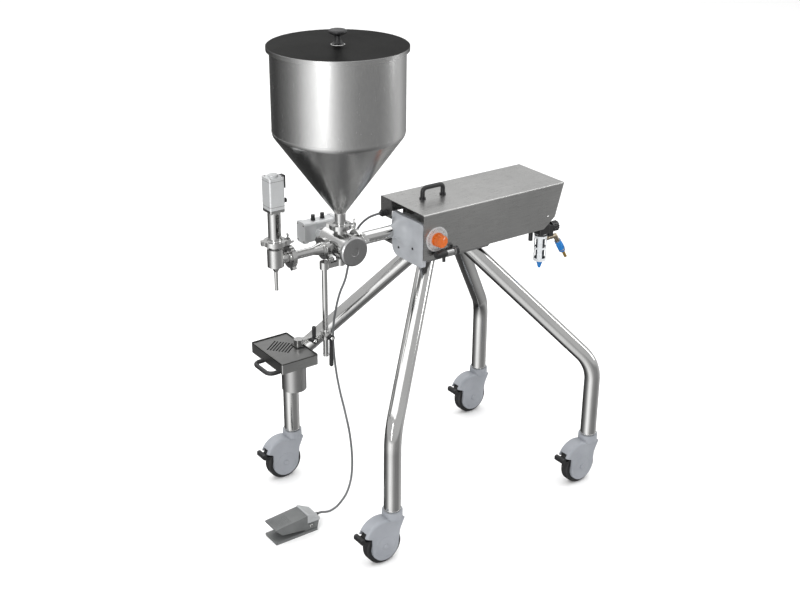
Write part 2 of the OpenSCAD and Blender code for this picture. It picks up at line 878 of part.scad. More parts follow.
// Hand throttle of the air supply: a body on the panel, a sleeve and a black knob that turns about X
module throttle_knob() {
    translate([0, throttle_y, throttle_z]) {
        color([0.12, 0.12, 0.12]) difference() {
            x_cylinder(throttle_x + throttle_body_len + throttle_sleeve_len, throttle_knob_r,
                throttle_knob_t);
            x_cylinder(throttle_x, throttle_stem_r + run_gap,
                throttle_body_len + throttle_sleeve_len + throttle_knob_t / 2);
        }
        color("gainsboro") difference() {
            x_cylinder(throttle_x + throttle_body_len + face_gap, throttle_sleeve_r,
                throttle_sleeve_len - face_gap);
            x_cylinder(throttle_x, throttle_stem_r + run_gap,
                throttle_body_len + throttle_sleeve_len + over);
        }
    }
}

// Air cylinder behind the front plate: square front and rear caps joined by a round barrel
module drive_cylinder() {
    bore_end = drive_bore_x + drive_bore_len;
    color("lightgray") difference() {
        union() {
            for (x = [flange_back, bore_end]) translate([x, 0, axis_z]) rotate([0, 90, 0])
                soft_block(drive_w, drive_w, drive_cap_t, drive_corner);
            translate([0, 0, axis_z]) x_cylinder(drive_bore_x, drive_r, drive_bore_len, smooth);
        }
        translate([0, 0, axis_z]) {
            x_cylinder(flange_back - over, rod_r + run_gap, drive_cap_t + 2 * over);
            x_cylinder(drive_bore_x, air_bore / 2, drive_bore_len, smooth);
        }
    }
}

// Piston rod with the metering piston at its front and the air piston behind the front plate
module piston_rod() {
    nose_x = port_reach + gasket_t + piston_free;
    air_x = drive_bore_x + drive_free;
    translate([0, 0, axis_z]) {
        color("white") x_cylinder(nose_x, pipe_in_r - run_gap, piston_t);
        color("silver") x_cylinder(nose_x + piston_t, rod_r, air_x - nose_x - piston_t);
        color("dimgray") x_cylinder(air_x, air_bore / 2 - run_gap, air_piston_t, smooth);
    }
}

// Ferrule: a conical flange of a pipe end, its face at z = 0 and its pipe upward
module ferrule(bore_r, tube_r) {
    rotate_extrude($fn = smooth) polygon([
        [bore_r, 0], [ferrule_r, 0], [ferrule_r, ferrule_edge],
            [tube_r + ferrule_slope / 2, ferrule_edge + ferrule_slope],
        [tube_r, ferrule_edge + 2 * ferrule_slope], [bore_r, ferrule_edge + 2 * ferrule_slope]
    ]);
}

module metering_cylinder() {
    start = port_reach + gasket_t;
    color("gainsboro") translate([0, 0, axis_z]) {
        translate([start, 0, 0]) rotate([0, 90, 0]) ferrule(pipe_in_r, pipe_r);
        difference() {
            x_cylinder(start + ferrule_edge, pipe_r, house_x - flare_r - start - ferrule_edge, smooth);
            x_cylinder(start, pipe_in_r, house_x, smooth);
        }
    }
}

// Three-way valve body: a cross barrel for the plug with ports to the hopper, cylinder and outlet
module valve_body() {
    color([0.55, 0.56, 0.57]) translate([0, 0, axis_z]) difference() {
        union() {
            y_cylinder(-valve_near, valve_r, valve_near + valve_far, smooth);
            y_cylinder(valve_far, rear_collar_r, rear_collar_t);
            for (a = [0, 90, -90]) rotate([0, a, 0]) {
                cylinder(r = pipe_r, h = port_reach - ferrule_edge, $fn = smooth);
                translate([0, 0, port_reach]) mirror([0, 0, 1]) ferrule(0, pipe_r);
            }
        }
        y_cylinder(-valve_near - over, plug_r + run_gap, valve_near + plug_y + over, smooth);
        y_cylinder(0, stem_r + run_gap, valve_far + rear_collar_t + over);
        for (a = [0, 90, -90]) rotate([0, a, 0])
            cylinder(r = pipe_in_r, h = port_reach + over, $fn = smooth);
    }
}

// Plug with three passages: hopper to cylinder as drawn, cylinder to outlet after a quarter turn
module valve_plug() {
    color("whitesmoke") translate([0, 0, axis_z]) {
        difference() {
            y_cylinder(-valve_near + face_gap, plug_r, valve_near + plug_y - 2 * face_gap, smooth);
            translate([0, 0, -valve_d]) cylinder(r = plug_bore_r, h = 2 * valve_d, $fn = fine);
            x_cylinder(0, plug_bore_r, valve_r);
        }
        y_cylinder(plug_y - face_gap, stem_r, actuator_y + actuator_cap_t - plug_y);
    }
}

module valve_cover() {
    color("gray") translate([0, 0, axis_z]) rotate([90, 0, 0]) rotate_extrude($fn = smooth) polygon(rounded([
        [0, valve_near, 0], [cover_r, valve_near, 0],
            [cover_r, valve_near + cover_t - cover_step, cover_step / 4],
        [cover_r - cover_step, valve_near + cover_t, cover_step / 2],
            [cover_boss_r, valve_near + cover_t, cover_step / 4],
        [cover_boss_r, valve_near + cover_t - cover_step / 2, 0],
            [0, valve_near + cover_t - cover_step / 2, 0]
    ]));
}

// Rack and pinion actuator on a yoke behind the valve
module valve_actuator() {
    z0 = axis_z + actuator_lift - actuator_h / 2;
    color("lightgray") {
        difference() {
            union() {
                translate([0, actuator_y + actuator_w / 2, z0 + actuator_h / 2]) {
                    rotate([0, 90, 0]) translate([0, 0, -actuator_len / 2 + actuator_cap_t])
                        soft_block(actuator_h - actuator_corner / 2, actuator_w - actuator_corner / 2,
                            actuator_len - 2 * actuator_cap_t, actuator_corner);
                    for (s = [-1, 1]) rotate([0, 90, 0])
                        translate([0, 0, s * (actuator_len - actuator_cap_t) / 2 - actuator_cap_t / 2])
                        soft_block(actuator_h, actuator_w, actuator_cap_t, actuator_corner);
                }
            }
            translate([0, 0, axis_z])
                y_cylinder(actuator_y - over, stem_r + run_gap, actuator_cap_t + 2 * over);
        }
    }
    color("silver") difference() {
        translate([-yoke_w / 2, valve_far + rear_collar_t, axis_z - yoke_w / 2])
            cube([yoke_w, actuator_y + actuator_corner / 4 - valve_far - rear_collar_t, yoke_w]);
        translate([-yoke_w / 2 + yoke_wall, valve_far + rear_collar_t + yoke_wall,
            axis_z - yoke_w / 2 - over])
            cube([yoke_w - 2 * yoke_wall, actuator_y - valve_far - rear_collar_t - 2 * yoke_wall,
                yoke_w + 2 * over]);
        translate([0, 0, axis_z]) y_cylinder(valve_far, stem_r + run_gap, actuator_y);
    }
}

// One clamp round a pair of ferrules, its axis along Z, its screw at +X and its hinge at -X
module pipe_clamp() {
    groove_r = ferrule_r + face_gap / 2;
    lip = ferrule_edge + gasket_t / 2;
    difference() {
        union() {
            rotate_extrude($fn = smooth) polygon([
                [clamp_r, -clamp_w / 2], [clamp_r, clamp_w / 2], [pipe_r + ferrule_slope, clamp_w / 2],
                [pipe_r + ferrule_slope, lip + ferrule_slope], [groove_r, lip + face_gap / 2],
                [groove_r, -lip - face_gap / 2], [pipe_r + ferrule_slope, -lip - ferrule_slope],
                [pipe_r + ferrule_slope, -clamp_w / 2]
            ]);
            translate([clamp_r - clamp_split / 2, -clamp_lug_w / 2, -clamp_w / 2])
                cube([clamp_lug_h, clamp_lug_w, clamp_w]);
            translate([-clamp_r - clamp_split, -clamp_lug_w / 2, -clamp_w / 2])
                cube([1.5 * clamp_split, clamp_lug_w, clamp_w]);
        }
        translate([groove_r, -clamp_split / 2, -clamp_w]) cube([clamp_d, clamp_split, 2 * clamp_w]);
        translate([clamp_r + clamp_lug_h / 2 - clamp_bolt_r / 2, 0, 0])
            y_cylinder(-clamp_lug_w, clamp_bolt_r + run_gap, 2 * clamp_lug_w, small);
    }
    translate([clamp_r + clamp_lug_h / 2 - clamp_bolt_r / 2, 0, 0]) {
        y_cylinder(-clamp_lug_w / 2 - wing_t, clamp_bolt_r, clamp_bolt_len, small);
        y_cylinder(-clamp_lug_w / 2 - wing_t, 2 * clamp_bolt_r, wing_t, small);
        translate([0, clamp_lug_w / 2, 0]) rotate([0, 90, 0]) wing_nut();
    }
}

// Wing nut along Y with its bore filled by the clamp screw
module wing_nut() {
    difference() {
        union() {
            y_cylinder(0, wing_r, wing_h, small);
            translate([0, wing_h / 2, 0]) rotate([-90, 0, 0]) linear_extrude(wing_h, center = true)
                difference() {
                    union() {
                        translate([-wing_reach, -wing_t / 2]) square([2 * wing_reach, wing_t]);
                        for (s = [-1, 1]) translate([s * (wing_reach - wing_t), 0])
                            circle(r = wing_t, $fn = small);
                    }
                }
        }
        y_cylinder(-over, clamp_bolt_r + run_gap, wing_h + 2 * over, small);
    }
}

// Places of the five pipe joints: [point, rotation that turns the joint axis, turn of the screw]
clamp_places = [
    [[0, 0, port_top + gasket_t / 2], [0, 0, 0], -40],
    [[port_reach + gasket_t / 2, 0, axis_z], [0, 90, 0], -120],
    [[-port_reach - gasket_t / 2, 0, axis_z], [0, 90, 0], -60],
    [[nozzle_port_x + gasket_t / 2, 0, axis_z], [0, 90, 0], 150],
    [[nozzle_x, 0, nozzle_joint_z], [0, 0, 0], -20]
];

module pipe_clamps() {
    color("silver") for (c = clamp_places) translate(c[0]) rotate(c[1]) rotate([0, 0, c[2]]) pipe_clamp();
}

module clamp_gaskets() {
    color([0.9, 0.9, 0.88]) for (c = clamp_places) translate(c[0]) rotate(c[1]) difference() {
        cylinder(r = ferrule_r, h = gasket_t, center = true, $fn = smooth);
        cylinder(r = pipe_in_r, h = 2 * gasket_t, center = true, $fn = smooth);
    }
}

// Hopper: upright wall, round shoulder, cone, neck and ferrule in one skin
module hopper() {
    out_r = hopper_r + hopper_wall;
    neck_out = neck_r + neck_wall;
    color("silver") {
        rotate_extrude($fn = smooth) polygon(rounded([
            [neck_out, port_top + gasket_t + ferrule_edge, 0], [neck_out, neck_z, neck_wall],
            [out_r, cone_z, shoulder_r + hopper_wall], [out_r, rim_z, 0], [hopper_r, rim_z, 0],
            [hopper_r, cone_z, shoulder_r], [neck_r, neck_z, 2 * neck_wall],
            [neck_r, port_top + gasket_t + ferrule_edge, 0]
        ]));
        translate([0, 0, port_top + gasket_t]) ferrule(neck_r, neck_out);
        translate([0, 0, rim_z - rim_r]) rotate_extrude($fn = smooth) translate([out_r, 0])
            circle(r = rim_r, $fn = small);
    }
}

module hopper_lid() {
    color("silver") translate([0, 0, lid_z]) rotate_extrude($fn = smooth) polygon([
        [0, 0], [lid_r - sheet_t, 0], [lid_r - sheet_t, -lid_skirt], [lid_r, -lid_skirt],
        [lid_r, lid_t - sheet_t / 2], [lid_r - sheet_t / 2, lid_t], [0, lid_t]
    ]);
}

module lid_knob() {
    h = lid_knob_h;
    color([0.1, 0.1, 0.1]) translate([0, 0, lid_z + lid_t]) rotate_extrude($fn = smooth) polygon(concat(
        [[0, 0], [lid_knob_foot, 0], [lid_knob_foot, lid_t]],
        [for (i = [0 : arc_steps]) let(t = 90 * i / arc_steps)
            [lid_knob_foot - (lid_knob_foot - lid_knob_waist) * sin(t),
                lid_t + (h / 2 - lid_t) * (1 - cos(t))]],
        [for (i = [0 : arc_steps]) let(t = 180 * i / arc_steps - 60)
            [lid_knob_r - h / 8 + h / 8 * cos(t), h - h / 4 + h / 8 * sin(t)]],
        [[0, h - h / 16]]
    ));
}

// Outlet pipe: a reducer from the valve ferrule to a thinner pipe with a ferrule at the nozzle
module outlet_pipe() {
    long = outlet_start - outlet_end;
    thin_out = thin_r + thin_wall;
    color("gainsboro") translate([outlet_start, 0, axis_z]) rotate([0, -90, 0]) {
        ferrule(pipe_in_r, pipe_r);
        rotate_extrude($fn = smooth) polygon([
            [pipe_in_r, ferrule_edge], [pipe_r, ferrule_edge], [pipe_r, reducer_len / 3],
                [thin_out, reducer_len],
            [thin_out, long - ferrule_edge], [thin_r, long - ferrule_edge], [thin_r, reducer_len],
            [pipe_in_r, reducer_len / 3]
        ]);
        translate([0, 0, long]) mirror([0, 0, 1]) ferrule(thin_r, thin_out);
    }
}

// Nozzle body with its side port, seat and needle
module nozzle_body() {
    joint = nozzle_joint_z - gasket_t / 2;
    color("silver") difference() {
        union() {
            translate([nozzle_x, 0, 0]) rotate_extrude($fn = smooth) polygon([
                [0, needle_z], [needle_r, needle_z], [needle_r, nozzle_low_z - nozzle_taper_h],
                [nozzle_taper_r, nozzle_low_z], [nozzle_r, nozzle_low_z],
                [nozzle_r, joint - nozzle_shoulder], [pipe_r, joint - nozzle_shoulder + nozzle_r - pipe_r],
                [pipe_r, joint - ferrule_edge], [0, joint - ferrule_edge]
            ]);
            translate([nozzle_x, 0, joint]) mirror([0, 0, 1]) ferrule(0, pipe_r);
            translate([0, 0, axis_z]) x_cylinder(nozzle_x, port_small_r, nozzle_port_reach - ferrule_edge);
            translate([nozzle_port_x, 0, axis_z]) rotate([0, -90, 0]) ferrule(0, port_small_r);
        }
        translate([nozzle_x, 0, needle_z - over])
            cylinder(r = needle_r - needle_wall, h = nozzle_low_z - needle_z + 2 * over, $fn = fine);
        translate([nozzle_x, 0, nozzle_low_z])
            cylinder(r = nozzle_bore_r, h = joint - nozzle_low_z + over, $fn = fine);
        translate([0, 0, axis_z]) x_cylinder(nozzle_x, thin_r, nozzle_port_reach + over);
    }
}

// Lantern between nozzle and air cylinder, with a window on each side
module nozzle_lantern() {
    joint = nozzle_joint_z + gasket_t / 2;
    color("gainsboro") translate([nozzle_x, 0, 0]) difference() {
        union() {
            translate([0, 0, joint]) ferrule(0, lantern_r);
            translate([0, 0, joint + ferrule_edge])
                cylinder(r = lantern_r, h = lantern_top_z - joint - ferrule_edge, $fn = smooth);
            soft_block(block_w, block_w, lantern_foot_t, block_corner, lantern_top_z - lantern_foot_t);
        }
        translate([0, 0, joint + lantern_guide_t])
            cylinder(r = lantern_in_r, h = lantern_top_z - joint - lantern_guide_t + over, $fn = fine);
        translate([0, 0, joint - over])
            cylinder(r = plunger_r + run_gap, h = lantern_guide_t + 2 * over, $fn = fine);
        for (z = [joint + lantern_guide_t + lantern_slot_w, lantern_top_z - lantern_foot_t - lantern_slot_w])
            translate([0, 0, z]) y_cylinder(-block_w, lantern_slot_w / 2, 2 * block_w);
        translate([-lantern_slot_w / 2, -block_w, joint + lantern_guide_t + lantern_slot_w])
            cube([lantern_slot_w, 2 * block_w,
                lantern_top_z - lantern_foot_t - 2 * lantern_slot_w - joint - lantern_guide_t]);
    }
}

module nozzle_cylinder() {
    color("gainsboro") translate([nozzle_x, 0, 0]) difference() {
        union() {
            soft_block(block_w, block_w, block_h, block_corner, lantern_top_z);
            translate([0, 0, lantern_top_z + block_h])
                cylinder(r = block_cap_r, h = block_cap_t, $fn = fine);
        }
        translate([0, 0, lantern_top_z + block_floor])
            cylinder(r = plunger_piston_r + run_gap, h = block_h - 2 * block_floor, $fn = fine);
        translate([0, 0, lantern_top_z - over])
            cylinder(r = plunger_r + run_gap, h = block_floor + 2 * over, $fn = fine);
    }
}

// Shut-off plunger: its cone closes the needle, its piston runs in the air cylinder
module nozzle_plunger() {
    seat_z = nozzle_low_z + face_gap;
    piston_z = lantern_top_z + block_floor + face_gap;
    color("silver") translate([nozzle_x, 0, 0]) rotate_extrude($fn = fine) polygon([
        [0, seat_z], [needle_r, seat_z], [plunger_seat_r, seat_z + plunger_seat_r],
            [plunger_r, seat_z + 2 * plunger_seat_r],
        [plunger_r, piston_z], [plunger_piston_r, piston_z], [plunger_piston_r, piston_z + block_floor],
        [0, piston_z + block_floor]
    ]);
}

// Push-in air fittings on the nozzle, the valve actuator and the housing
module air_fitting(r, len) {
    cylinder(r = r, h = len, $fn = small);
    cylinder(r = r * 1.25, h = len / 4, $fn = 6);
}

module air_fittings() {
    color([0.1, 0.1, 0.1]) {
        translate([nozzle_x + block_w / 2, -connector_w / 2, lantern_top_z + block_h - connector_h])
            cube([connector_l, connector_w, connector_h]);
        translate([nozzle_x + block_w / 2, 0, lantern_top_z + fit_len]) rotate([0, 90, 0])
            air_fitting(fit_r, fit_len);
        translate([house_x - gland_len, gland_y, gland_z]) {
            x_cylinder(0, gland_r, gland_len);
            x_cylinder(gland_len, gland_hole_r - run_gap, sheet_t + fit_r);
        }
        for (s = [-1, 1]) translate([s * fit_len, actuator_y + actuator_w / 2,
            actuator_top - actuator_corner / 4])
            air_fitting(fit_r - face_gap, fit_len);
        translate([0, throttle_y, throttle_z]) {
            x_cylinder(throttle_x, throttle_body_r, throttle_body_len);
            x_cylinder(throttle_x, throttle_stem_r,
                throttle_body_len + throttle_sleeve_len + throttle_knob_t / 2 - over);
        }
        translate([throttle_x + throttle_body_r, throttle_y, throttle_z - throttle_body_r / 2])
            cube([throttle_body_len / 3, -house_half - throttle_y, throttle_body_r]);
        translate([plug_fit_x, filter_y, plug_fit_low])
            cylinder(r = plug_fit_r, h = plug_fit_len, $fn = small);
        translate([plug_fit_x, filter_y - plug_fit_r / 2, base_top + face_gap])
            cube([rail_end - rail_w - plug_fit_x, plug_fit_r, rail_h - 2 * face_gap]);
        translate([throttle_port_x, throttle_y, throttle_z - throttle_port_len])
            cylinder(r = throttle_body_r / 2, h = throttle_port_len, $fn = small);
    }
}

// Bracket under the valve that holds the upright rod
module rod_bracket() {
    color("silver") difference() {
        union() {
            translate([post_x, 0, post_top_z - bracket_h + over])
                cylinder(r = bracket_r, h = bracket_h, $fn = fine);
            translate([post_x, -bracket_arm_w / 2, post_top_z - bracket_h + over])
                cube([bracket_pad / 2 - post_x, bracket_arm_w, bracket_arm_t]);
            translate([0, 0, post_top_z - bracket_h + over])
                cylinder(r = bracket_pad / 2, h = axis_z - valve_r / 2 - post_top_z + bracket_h - over,
                    $fn = fine);
        }
        translate([0, 0, axis_z]) y_cylinder(-valve_near, valve_r, 2 * valve_near, smooth);
        translate([post_x, 0, post_low_z]) cylinder(r = post_r, h = post_top_z - post_low_z, $fn = fine);
    }
}

module support_rod() {
    color("gainsboro") translate([post_x, 0, post_low_z])
        cylinder(r = post_r, h = post_top_z - post_low_z, $fn = fine);
}

// Arm that slides on the rod and carries the tray
module tray_arm() {
    bar_z = tray_z + arm_lift;
    color("silver") difference() {
        union() {
            translate([post_x, 0, bar_z - (arm_hub_h - arm_t) / 2])
                cylinder(r = arm_hub_r, h = arm_hub_h, $fn = fine);
            translate([arm_end_x, -arm_w / 2, bar_z]) cube([post_x - arm_end_x, arm_w, arm_t]);
            translate([arm_end_x, 0, tray_z + tray_deck])
                cylinder(r = arm_end_r, h = 1.5 * arm_lift + arm_t - tray_deck, $fn = fine);
            translate([post_x, 0, bar_z + arm_t / 2])
                y_cylinder(-arm_hub_r - lever_head_t / 2, lever_head_r, arm_hub_r);
        }
        translate([post_x, 0, bar_z - arm_hub_h])
            cylinder(r = post_r + run_gap, h = 3 * arm_hub_h, $fn = fine);
        translate([lever_axis_x, 0, bar_z + arm_t / 2]) y_cylinder(-arm_w, lever_pin_r + run_gap, 2 * arm_w);
    }
}

// Tray: a pan with a slotted deck a little below its rim, a seat for the arm and a drip cup under it
module tray() {
    pan_z = tray_z - tray_h + tray_deck;
    color("gray") difference() {
        union() {
            translate([(tray_front_x + tray_end_x) / 2, tray_y, pan_z]) difference() {
                soft_block(tray_l, tray_w, tray_h, tray_corner);
                soft_block(tray_l - 2 * tray_wall, tray_w - 2 * tray_wall,
                    tray_h - tray_deck - 2 * tray_wall,
                    tray_corner - tray_wall, tray_wall);
                soft_block(tray_l - 2 * tray_wall, tray_w - 2 * tray_wall, tray_h, tray_corner - tray_wall,
                    tray_h - tray_deck);
                translate([0, tray_w / 10, 0]) rotate([0, 0, slot_angle])
                    for (i = [0 : slot_count - 1])
                        translate([-slot_len / 2, (i - (slot_count - 1) / 2) * slot_pitch - slot_w / 2,
                            tray_h / 2])
                            cube([slot_len, slot_w, tray_h]);
            }
            translate([cup_x, cup_y, pan_z - cup_h])
                cylinder(r = cup_r, h = cup_h + tray_wall / 2, $fn = smooth);
            translate([tray_end_x - seat_len, -arm_hub_r, tray_z - over])
                cube([seat_len - tray_wall / 2, 2 * arm_hub_r, tray_deck + over]);
        }
        translate([cup_x, cup_y, pan_z - cup_h + tray_wall])
            cylinder(r = cup_r - tray_wall, h = cup_h + tray_wall / 2, $fn = smooth);
    }
}

// Bow handle in front of the tray, lying flat
module tray_handle() {
    turn = 3 * bow_r;
    z = tray_z - bow_drop;
    color([0.1, 0.1, 0.1]) translate([tray_front_x, bow_y, z]) {
        for (s = [-1, 1]) {
            translate([-bow_reach + turn, s * (bow_len / 2 - bow_r), 0]) rotate([0, 90, 0])
                cylinder(r = bow_r, h = bow_reach - turn, $fn = small);
            translate([-bow_reach + turn, s * (bow_len / 2 - bow_r - turn), 0])
                rotate([0, 0, s > 0 ? 90 : 180])
                rotate_extrude(angle = 90, $fn = smooth) translate([turn, 0]) circle(r = bow_r, $fn = small);
        }
        translate([-bow_reach, 0, 0])
            y_cylinder(-bow_len / 2 + bow_r + turn, bow_r, bow_len - 2 * bow_r - 2 * turn, small);
    }
}

// Clamping lever that turns about Y: a round head, a screw and a tapered handle along its own -Z
module clamp_lever(len, pin) {
    difference() {
        union() {
            y_cylinder(0, lever_head_r, lever_head_t);
            translate([0, lever_head_t / 2, 0]) rotate([180, 0, 0]) {
                cylinder(r1 = lever_tip_r * 0.8, r2 = lever_tip_r, h = len, $fn = small);
                translate([0, 0, len]) sphere(r = lever_tip_r, $fn = small);
            }
        }
    }
    y_cylinder(lever_head_t, lever_pin_r, pin);
}

module rod_lever() {
    color([0.1, 0.1, 0.1]) translate([post_x, -arm_hub_r - lever_head_t - lever_head_t / 2 - face_gap,
        tray_z + arm_lift + arm_t / 2])
        clamp_lever(lever_len, face_gap);
}

module arm_lever() {
    color([0.1, 0.1, 0.1]) translate([lever_axis_x, -arm_w / 2 - lever_head_t - face_gap,
        tray_z + arm_lift + arm_t / 2])
        rotate([0, 180, 0]) clamp_lever(lever_short, arm_w);
}

// Filter and pressure regulator on the rear bar of the chassis
module filter_unit() {
    color([0.1, 0.1, 0.1]) difference() {
        union() {
            translate([filter_x, filter_y, 0]) soft_block(head_w, head_w, head_h, block_corner, bowl_top);
            translate([filter_x + head_w / 2 - over, filter_y - regulator_w / 2, bowl_top - regulator_drop])
                cube([regulator_l + over, regulator_w, regulator_h]);
            translate([rail_end, filter_y - head_w / 3, bowl_top + head_h / 2])
                cube([filter_x - rail_end, head_w / 1.5, head_h / 2]);
        }
        translate([0, filter_y, bowl_top + regulator_h / 2 - regulator_drop / 2])
            x_cylinder(filter_x + head_w / 2, knob_shaft_r + run_gap, regulator_l + over);
    }
}

// Filter bowl: a metal guard with two rows of windows round a dark bowl, its drain below
module filter_bowl() {
    color("whitesmoke") translate([filter_x, filter_y, bowl_top - bowl_len]) {
        difference() {
            cylinder(r = bowl_r, h = bowl_len, $fn = fine);
            translate([0, 0, bowl_wall]) cylinder(r = bowl_r - bowl_wall, h = bowl_len, $fn = fine);
            for (a = [0 : 90 : 270], z = [bowl_len / 10, bowl_len / 2]) rotate([0, 0, a])
                translate([0, -bowl_window_w / 2, z]) cube([bowl_d, bowl_window_w, bowl_len / 3]);
        }
        translate([0, 0, bowl_wall / 2])
            cylinder(r = bowl_r - 3 * bowl_wall, h = bowl_len - bowl_wall / 2, $fn = fine);
    }
    color("dodgerblue") translate([filter_x, filter_y, bowl_top - bowl_len - drain_len])
        cylinder(r1 = drain_r / 3, r2 = drain_r, h = drain_len, $fn = small);
}

module regulator_knob() {
    z = bowl_top + regulator_h / 2 - regulator_drop / 2;
    x = filter_x + head_w / 2 + regulator_l + face_gap;
    color([0.1, 0.1, 0.1]) translate([0, filter_y, z]) difference() {
        union() {
            x_cylinder(x, regulator_knob_r, regulator_knob_len);
            x_cylinder(x - regulator_l / 2, knob_shaft_r, regulator_l / 2);
        }
        for (i = [0 : knob_flutes - 1]) rotate([i * 360 / knob_flutes, 0, 0])
            translate([0, 0, regulator_knob_r + knob_flute_r / 2])
            x_cylinder(x + knob_skirt_t, knob_flute_r, regulator_knob_len, small);
    }
}

// Inlet: a brass elbow, a blue quick coupling and the bare plug nipple, leaning back
module inlet_coupling() {
    z = bowl_top - regulator_drop - elbow_drop;
    blue = coupling_len * coupling_share[0];
    tip = coupling_len * coupling_share[1];
    translate([0, filter_y, 0]) {
        color("tan") {
            translate([elbow_x, 0, z]) cylinder(r = elbow_r, h = elbow_drop, $fn = fine);
            translate([elbow_x, 0, z]) sphere(r = elbow_r + over, $fn = fine);
            translate([0, 0, z]) x_cylinder(elbow_x, elbow_r, coupling_x - elbow_x);
            translate([coupling_x, 0, z]) sphere(r = elbow_r + over, $fn = fine);
        }
        translate([coupling_x, 0, z]) rotate([0, 180 - coupling_lean, 0]) {
            color("tan") cylinder(r = elbow_r, h = blue, $fn = fine);
            color("dodgerblue") translate([0, 0, blue]) cylinder(r = coupling_r, h = tip - blue, $fn = fine);
            color("goldenrod") translate([0, 0, tip])
                cylinder(r = coupling_tip_r, h = coupling_len - tip, $fn = fine);
        }
    }
}

// Pedal base: floor plate, hinge block with a leaning cap and the air inlet
module pedal_base() {
    color("dimgray") translate([0, pedal_y, 0]) {
        translate([pedal_front, -pedal_w / 2, 0]) cube([pedal_l, pedal_w, pedal_floor]);
        side_plate([[block_front_x, 0], [pedal_back, 0], [cap_back_x - face_gap, cap_low_z + over],
            [block_front_x, cap_low_z + over]], pedal_inner_w);
        side_plate([[cap_front_x, cap_low_z], [cap_back_x, cap_low_z], [cap_back_x, cap_back_z],
            [cap_front_x + treadle_t, cap_top_z], [cap_front_x, cap_top_z]], pedal_w);
        translate([0, 0, inlet_z]) x_cylinder(cap_back_x - inlet_r, inlet_r, inlet_len);
        translate([hinge_x, 0, hinge_z]) y_cylinder(-pedal_w / 2, hinge_r, pedal_w);
    }
}

// Treadle: a sloping plate with a side skirt each side that turns on the hinge pin
module treadle() {
    top = cap_front_x - face_gap;
    color([0.35, 0.36, 0.37]) translate([0, pedal_y, 0]) {
        side_plate([[pedal_front, treadle_front_z], [top, treadle_rear_z], [top, treadle_rear_z - treadle_t],
            [pedal_front, treadle_front_z - treadle_t]], pedal_w);
        for (s = [-1, 1]) translate([0, s * (pedal_w - pedal_wall) / 2, 0]) difference() {
            union() {
                side_plate([[pedal_front, treadle_front_z - treadle_t / 2],
                    [top, treadle_rear_z - treadle_t / 2],
                    [top, skirt_top_z], [hinge_x, skirt_top_z], [hinge_x, skirt_rear_z],
                        [skirt_cut_x, skirt_cut_z]],
                    pedal_wall);
                translate([hinge_x, 0, hinge_z]) y_cylinder(-pedal_wall / 2, hinge_eye_r, pedal_wall);
            }
            translate([hinge_x, 0, hinge_z]) y_cylinder(-pedal_wall, hinge_r + run_gap, 2 * pedal_wall);
        }
    }
}

// Skin of a cord swept along points: rings of points, then faces
function cord_dir(p, i) = unit(p[min(i + 1, len(p) - 1)] - p[max(i - 1, 0)]);
function cord_ring(p, i, r, n) =
    let(d = cord_dir(p, i), s = unit(cross(d, [0, 1, 0])), t = cross(d, s))
    [for (k = [0 : n - 1]) p[i] + r * (cos(360 * k / n) * s + sin(360 * k / n) * t)];
function spline(p, steps) = [
    for (i = [0 : len(p) - 2], k = [0 : steps - 1])
        let(a = p[max(i - 1, 0)], b = p[i], c = p[i + 1], d = p[min(i + 2, len(p) - 1)], t = k / steps)
        0.5 * (2 * b + (c - a) * t + (2 * a - 5 * b + 4 * c - d) * t * t
            + (3 * b - a - 3 * c + d) * t * t * t),
    p[len(p) - 1]
];

module cord(p, r, n) {
    rings = len(p);
    polyhedron(
        [for (i = [0 : rings - 1]) each cord_ring(p, i, r, n)],
        concat(
            [[for (k = [n - 1 : -1 : 0]) k]],
            [for (i = [0 : rings - 2], k = [0 : n - 1])
                each [[i * n + k, i * n + (k + 1) % n, (i + 1) * n + (k + 1) % n],
                    [i * n + k, (i + 1) * n + (k + 1) % n, (i + 1) * n + k]]],
            [[for (k = [0 : n - 1]) (rings - 1) * n + k]]
        )
    );
}

module pedal_hose() {
    color([0.45, 0.46, 0.47]) cord(spline(hose_points, 3), hose_r, hose_sides);
}

placed() front_leg_left();
placed() front_leg_right();
placed() rear_leg_left();
placed() rear_leg_right();
placed() chassis();
placed() castor_stems();
placed() at_castor(1) castor_hood();  // castor_1_hood
placed() at_castor(1) castor_hub();  // castor_1_hub
placed() at_castor(1) castor_tyre();  // castor_1_tyre
placed() at_castor(1) castor_brake();  // castor_1_brake
placed() at_castor(2) castor_hood();  // castor_2_hood
placed() at_castor(2) castor_hub();  // castor_2_hub
placed() at_castor(2) castor_tyre();  // castor_2_tyre
placed() at_castor(2) castor_brake();  // castor_2_brake
placed() at_castor(3) castor_hood();  // castor_3_hood
placed() at_castor(3) castor_hub();  // castor_3_hub
placed() at_castor(3) castor_tyre();  // castor_3_tyre
placed() at_castor(3) castor_brake();  // castor_3_brake
placed() at_castor(4) castor_hood();  // castor_4_hood
placed() at_castor(4) castor_hub();  // castor_4_hub
placed() at_castor(4) castor_tyre();  // castor_4_tyre
placed() at_castor(4) castor_brake();  // castor_4_brake
placed() housing_cover();
placed() front_flange();
placed() carry_handle();
placed() scale_ring();
placed() dial_knob();
placed() throttle_knob();
placed() drive_cylinder();
placed() piston_rod();
placed() metering_cylinder();
placed() valve_body();
placed() valve_plug();
placed() valve_cover();
placed() valve_actuator();
placed() pipe_clamps();
placed() clamp_gaskets();
placed() hopper();
placed() hopper_lid();
placed() lid_knob();
placed() outlet_pipe();
placed() nozzle_body();
placed() nozzle_lantern();
placed() nozzle_cylinder();
placed() nozzle_plunger();
placed() air_fittings();
placed() rod_bracket();
placed() support_rod();
placed() tray_arm();
placed() tray();
placed() tray_handle();
placed() rod_lever();
placed() arm_lever();
placed() filter_unit();
placed() filter_bowl();
placed() regulator_knob();
placed() inlet_coupling();
placed() pedal_base();
placed() treadle();
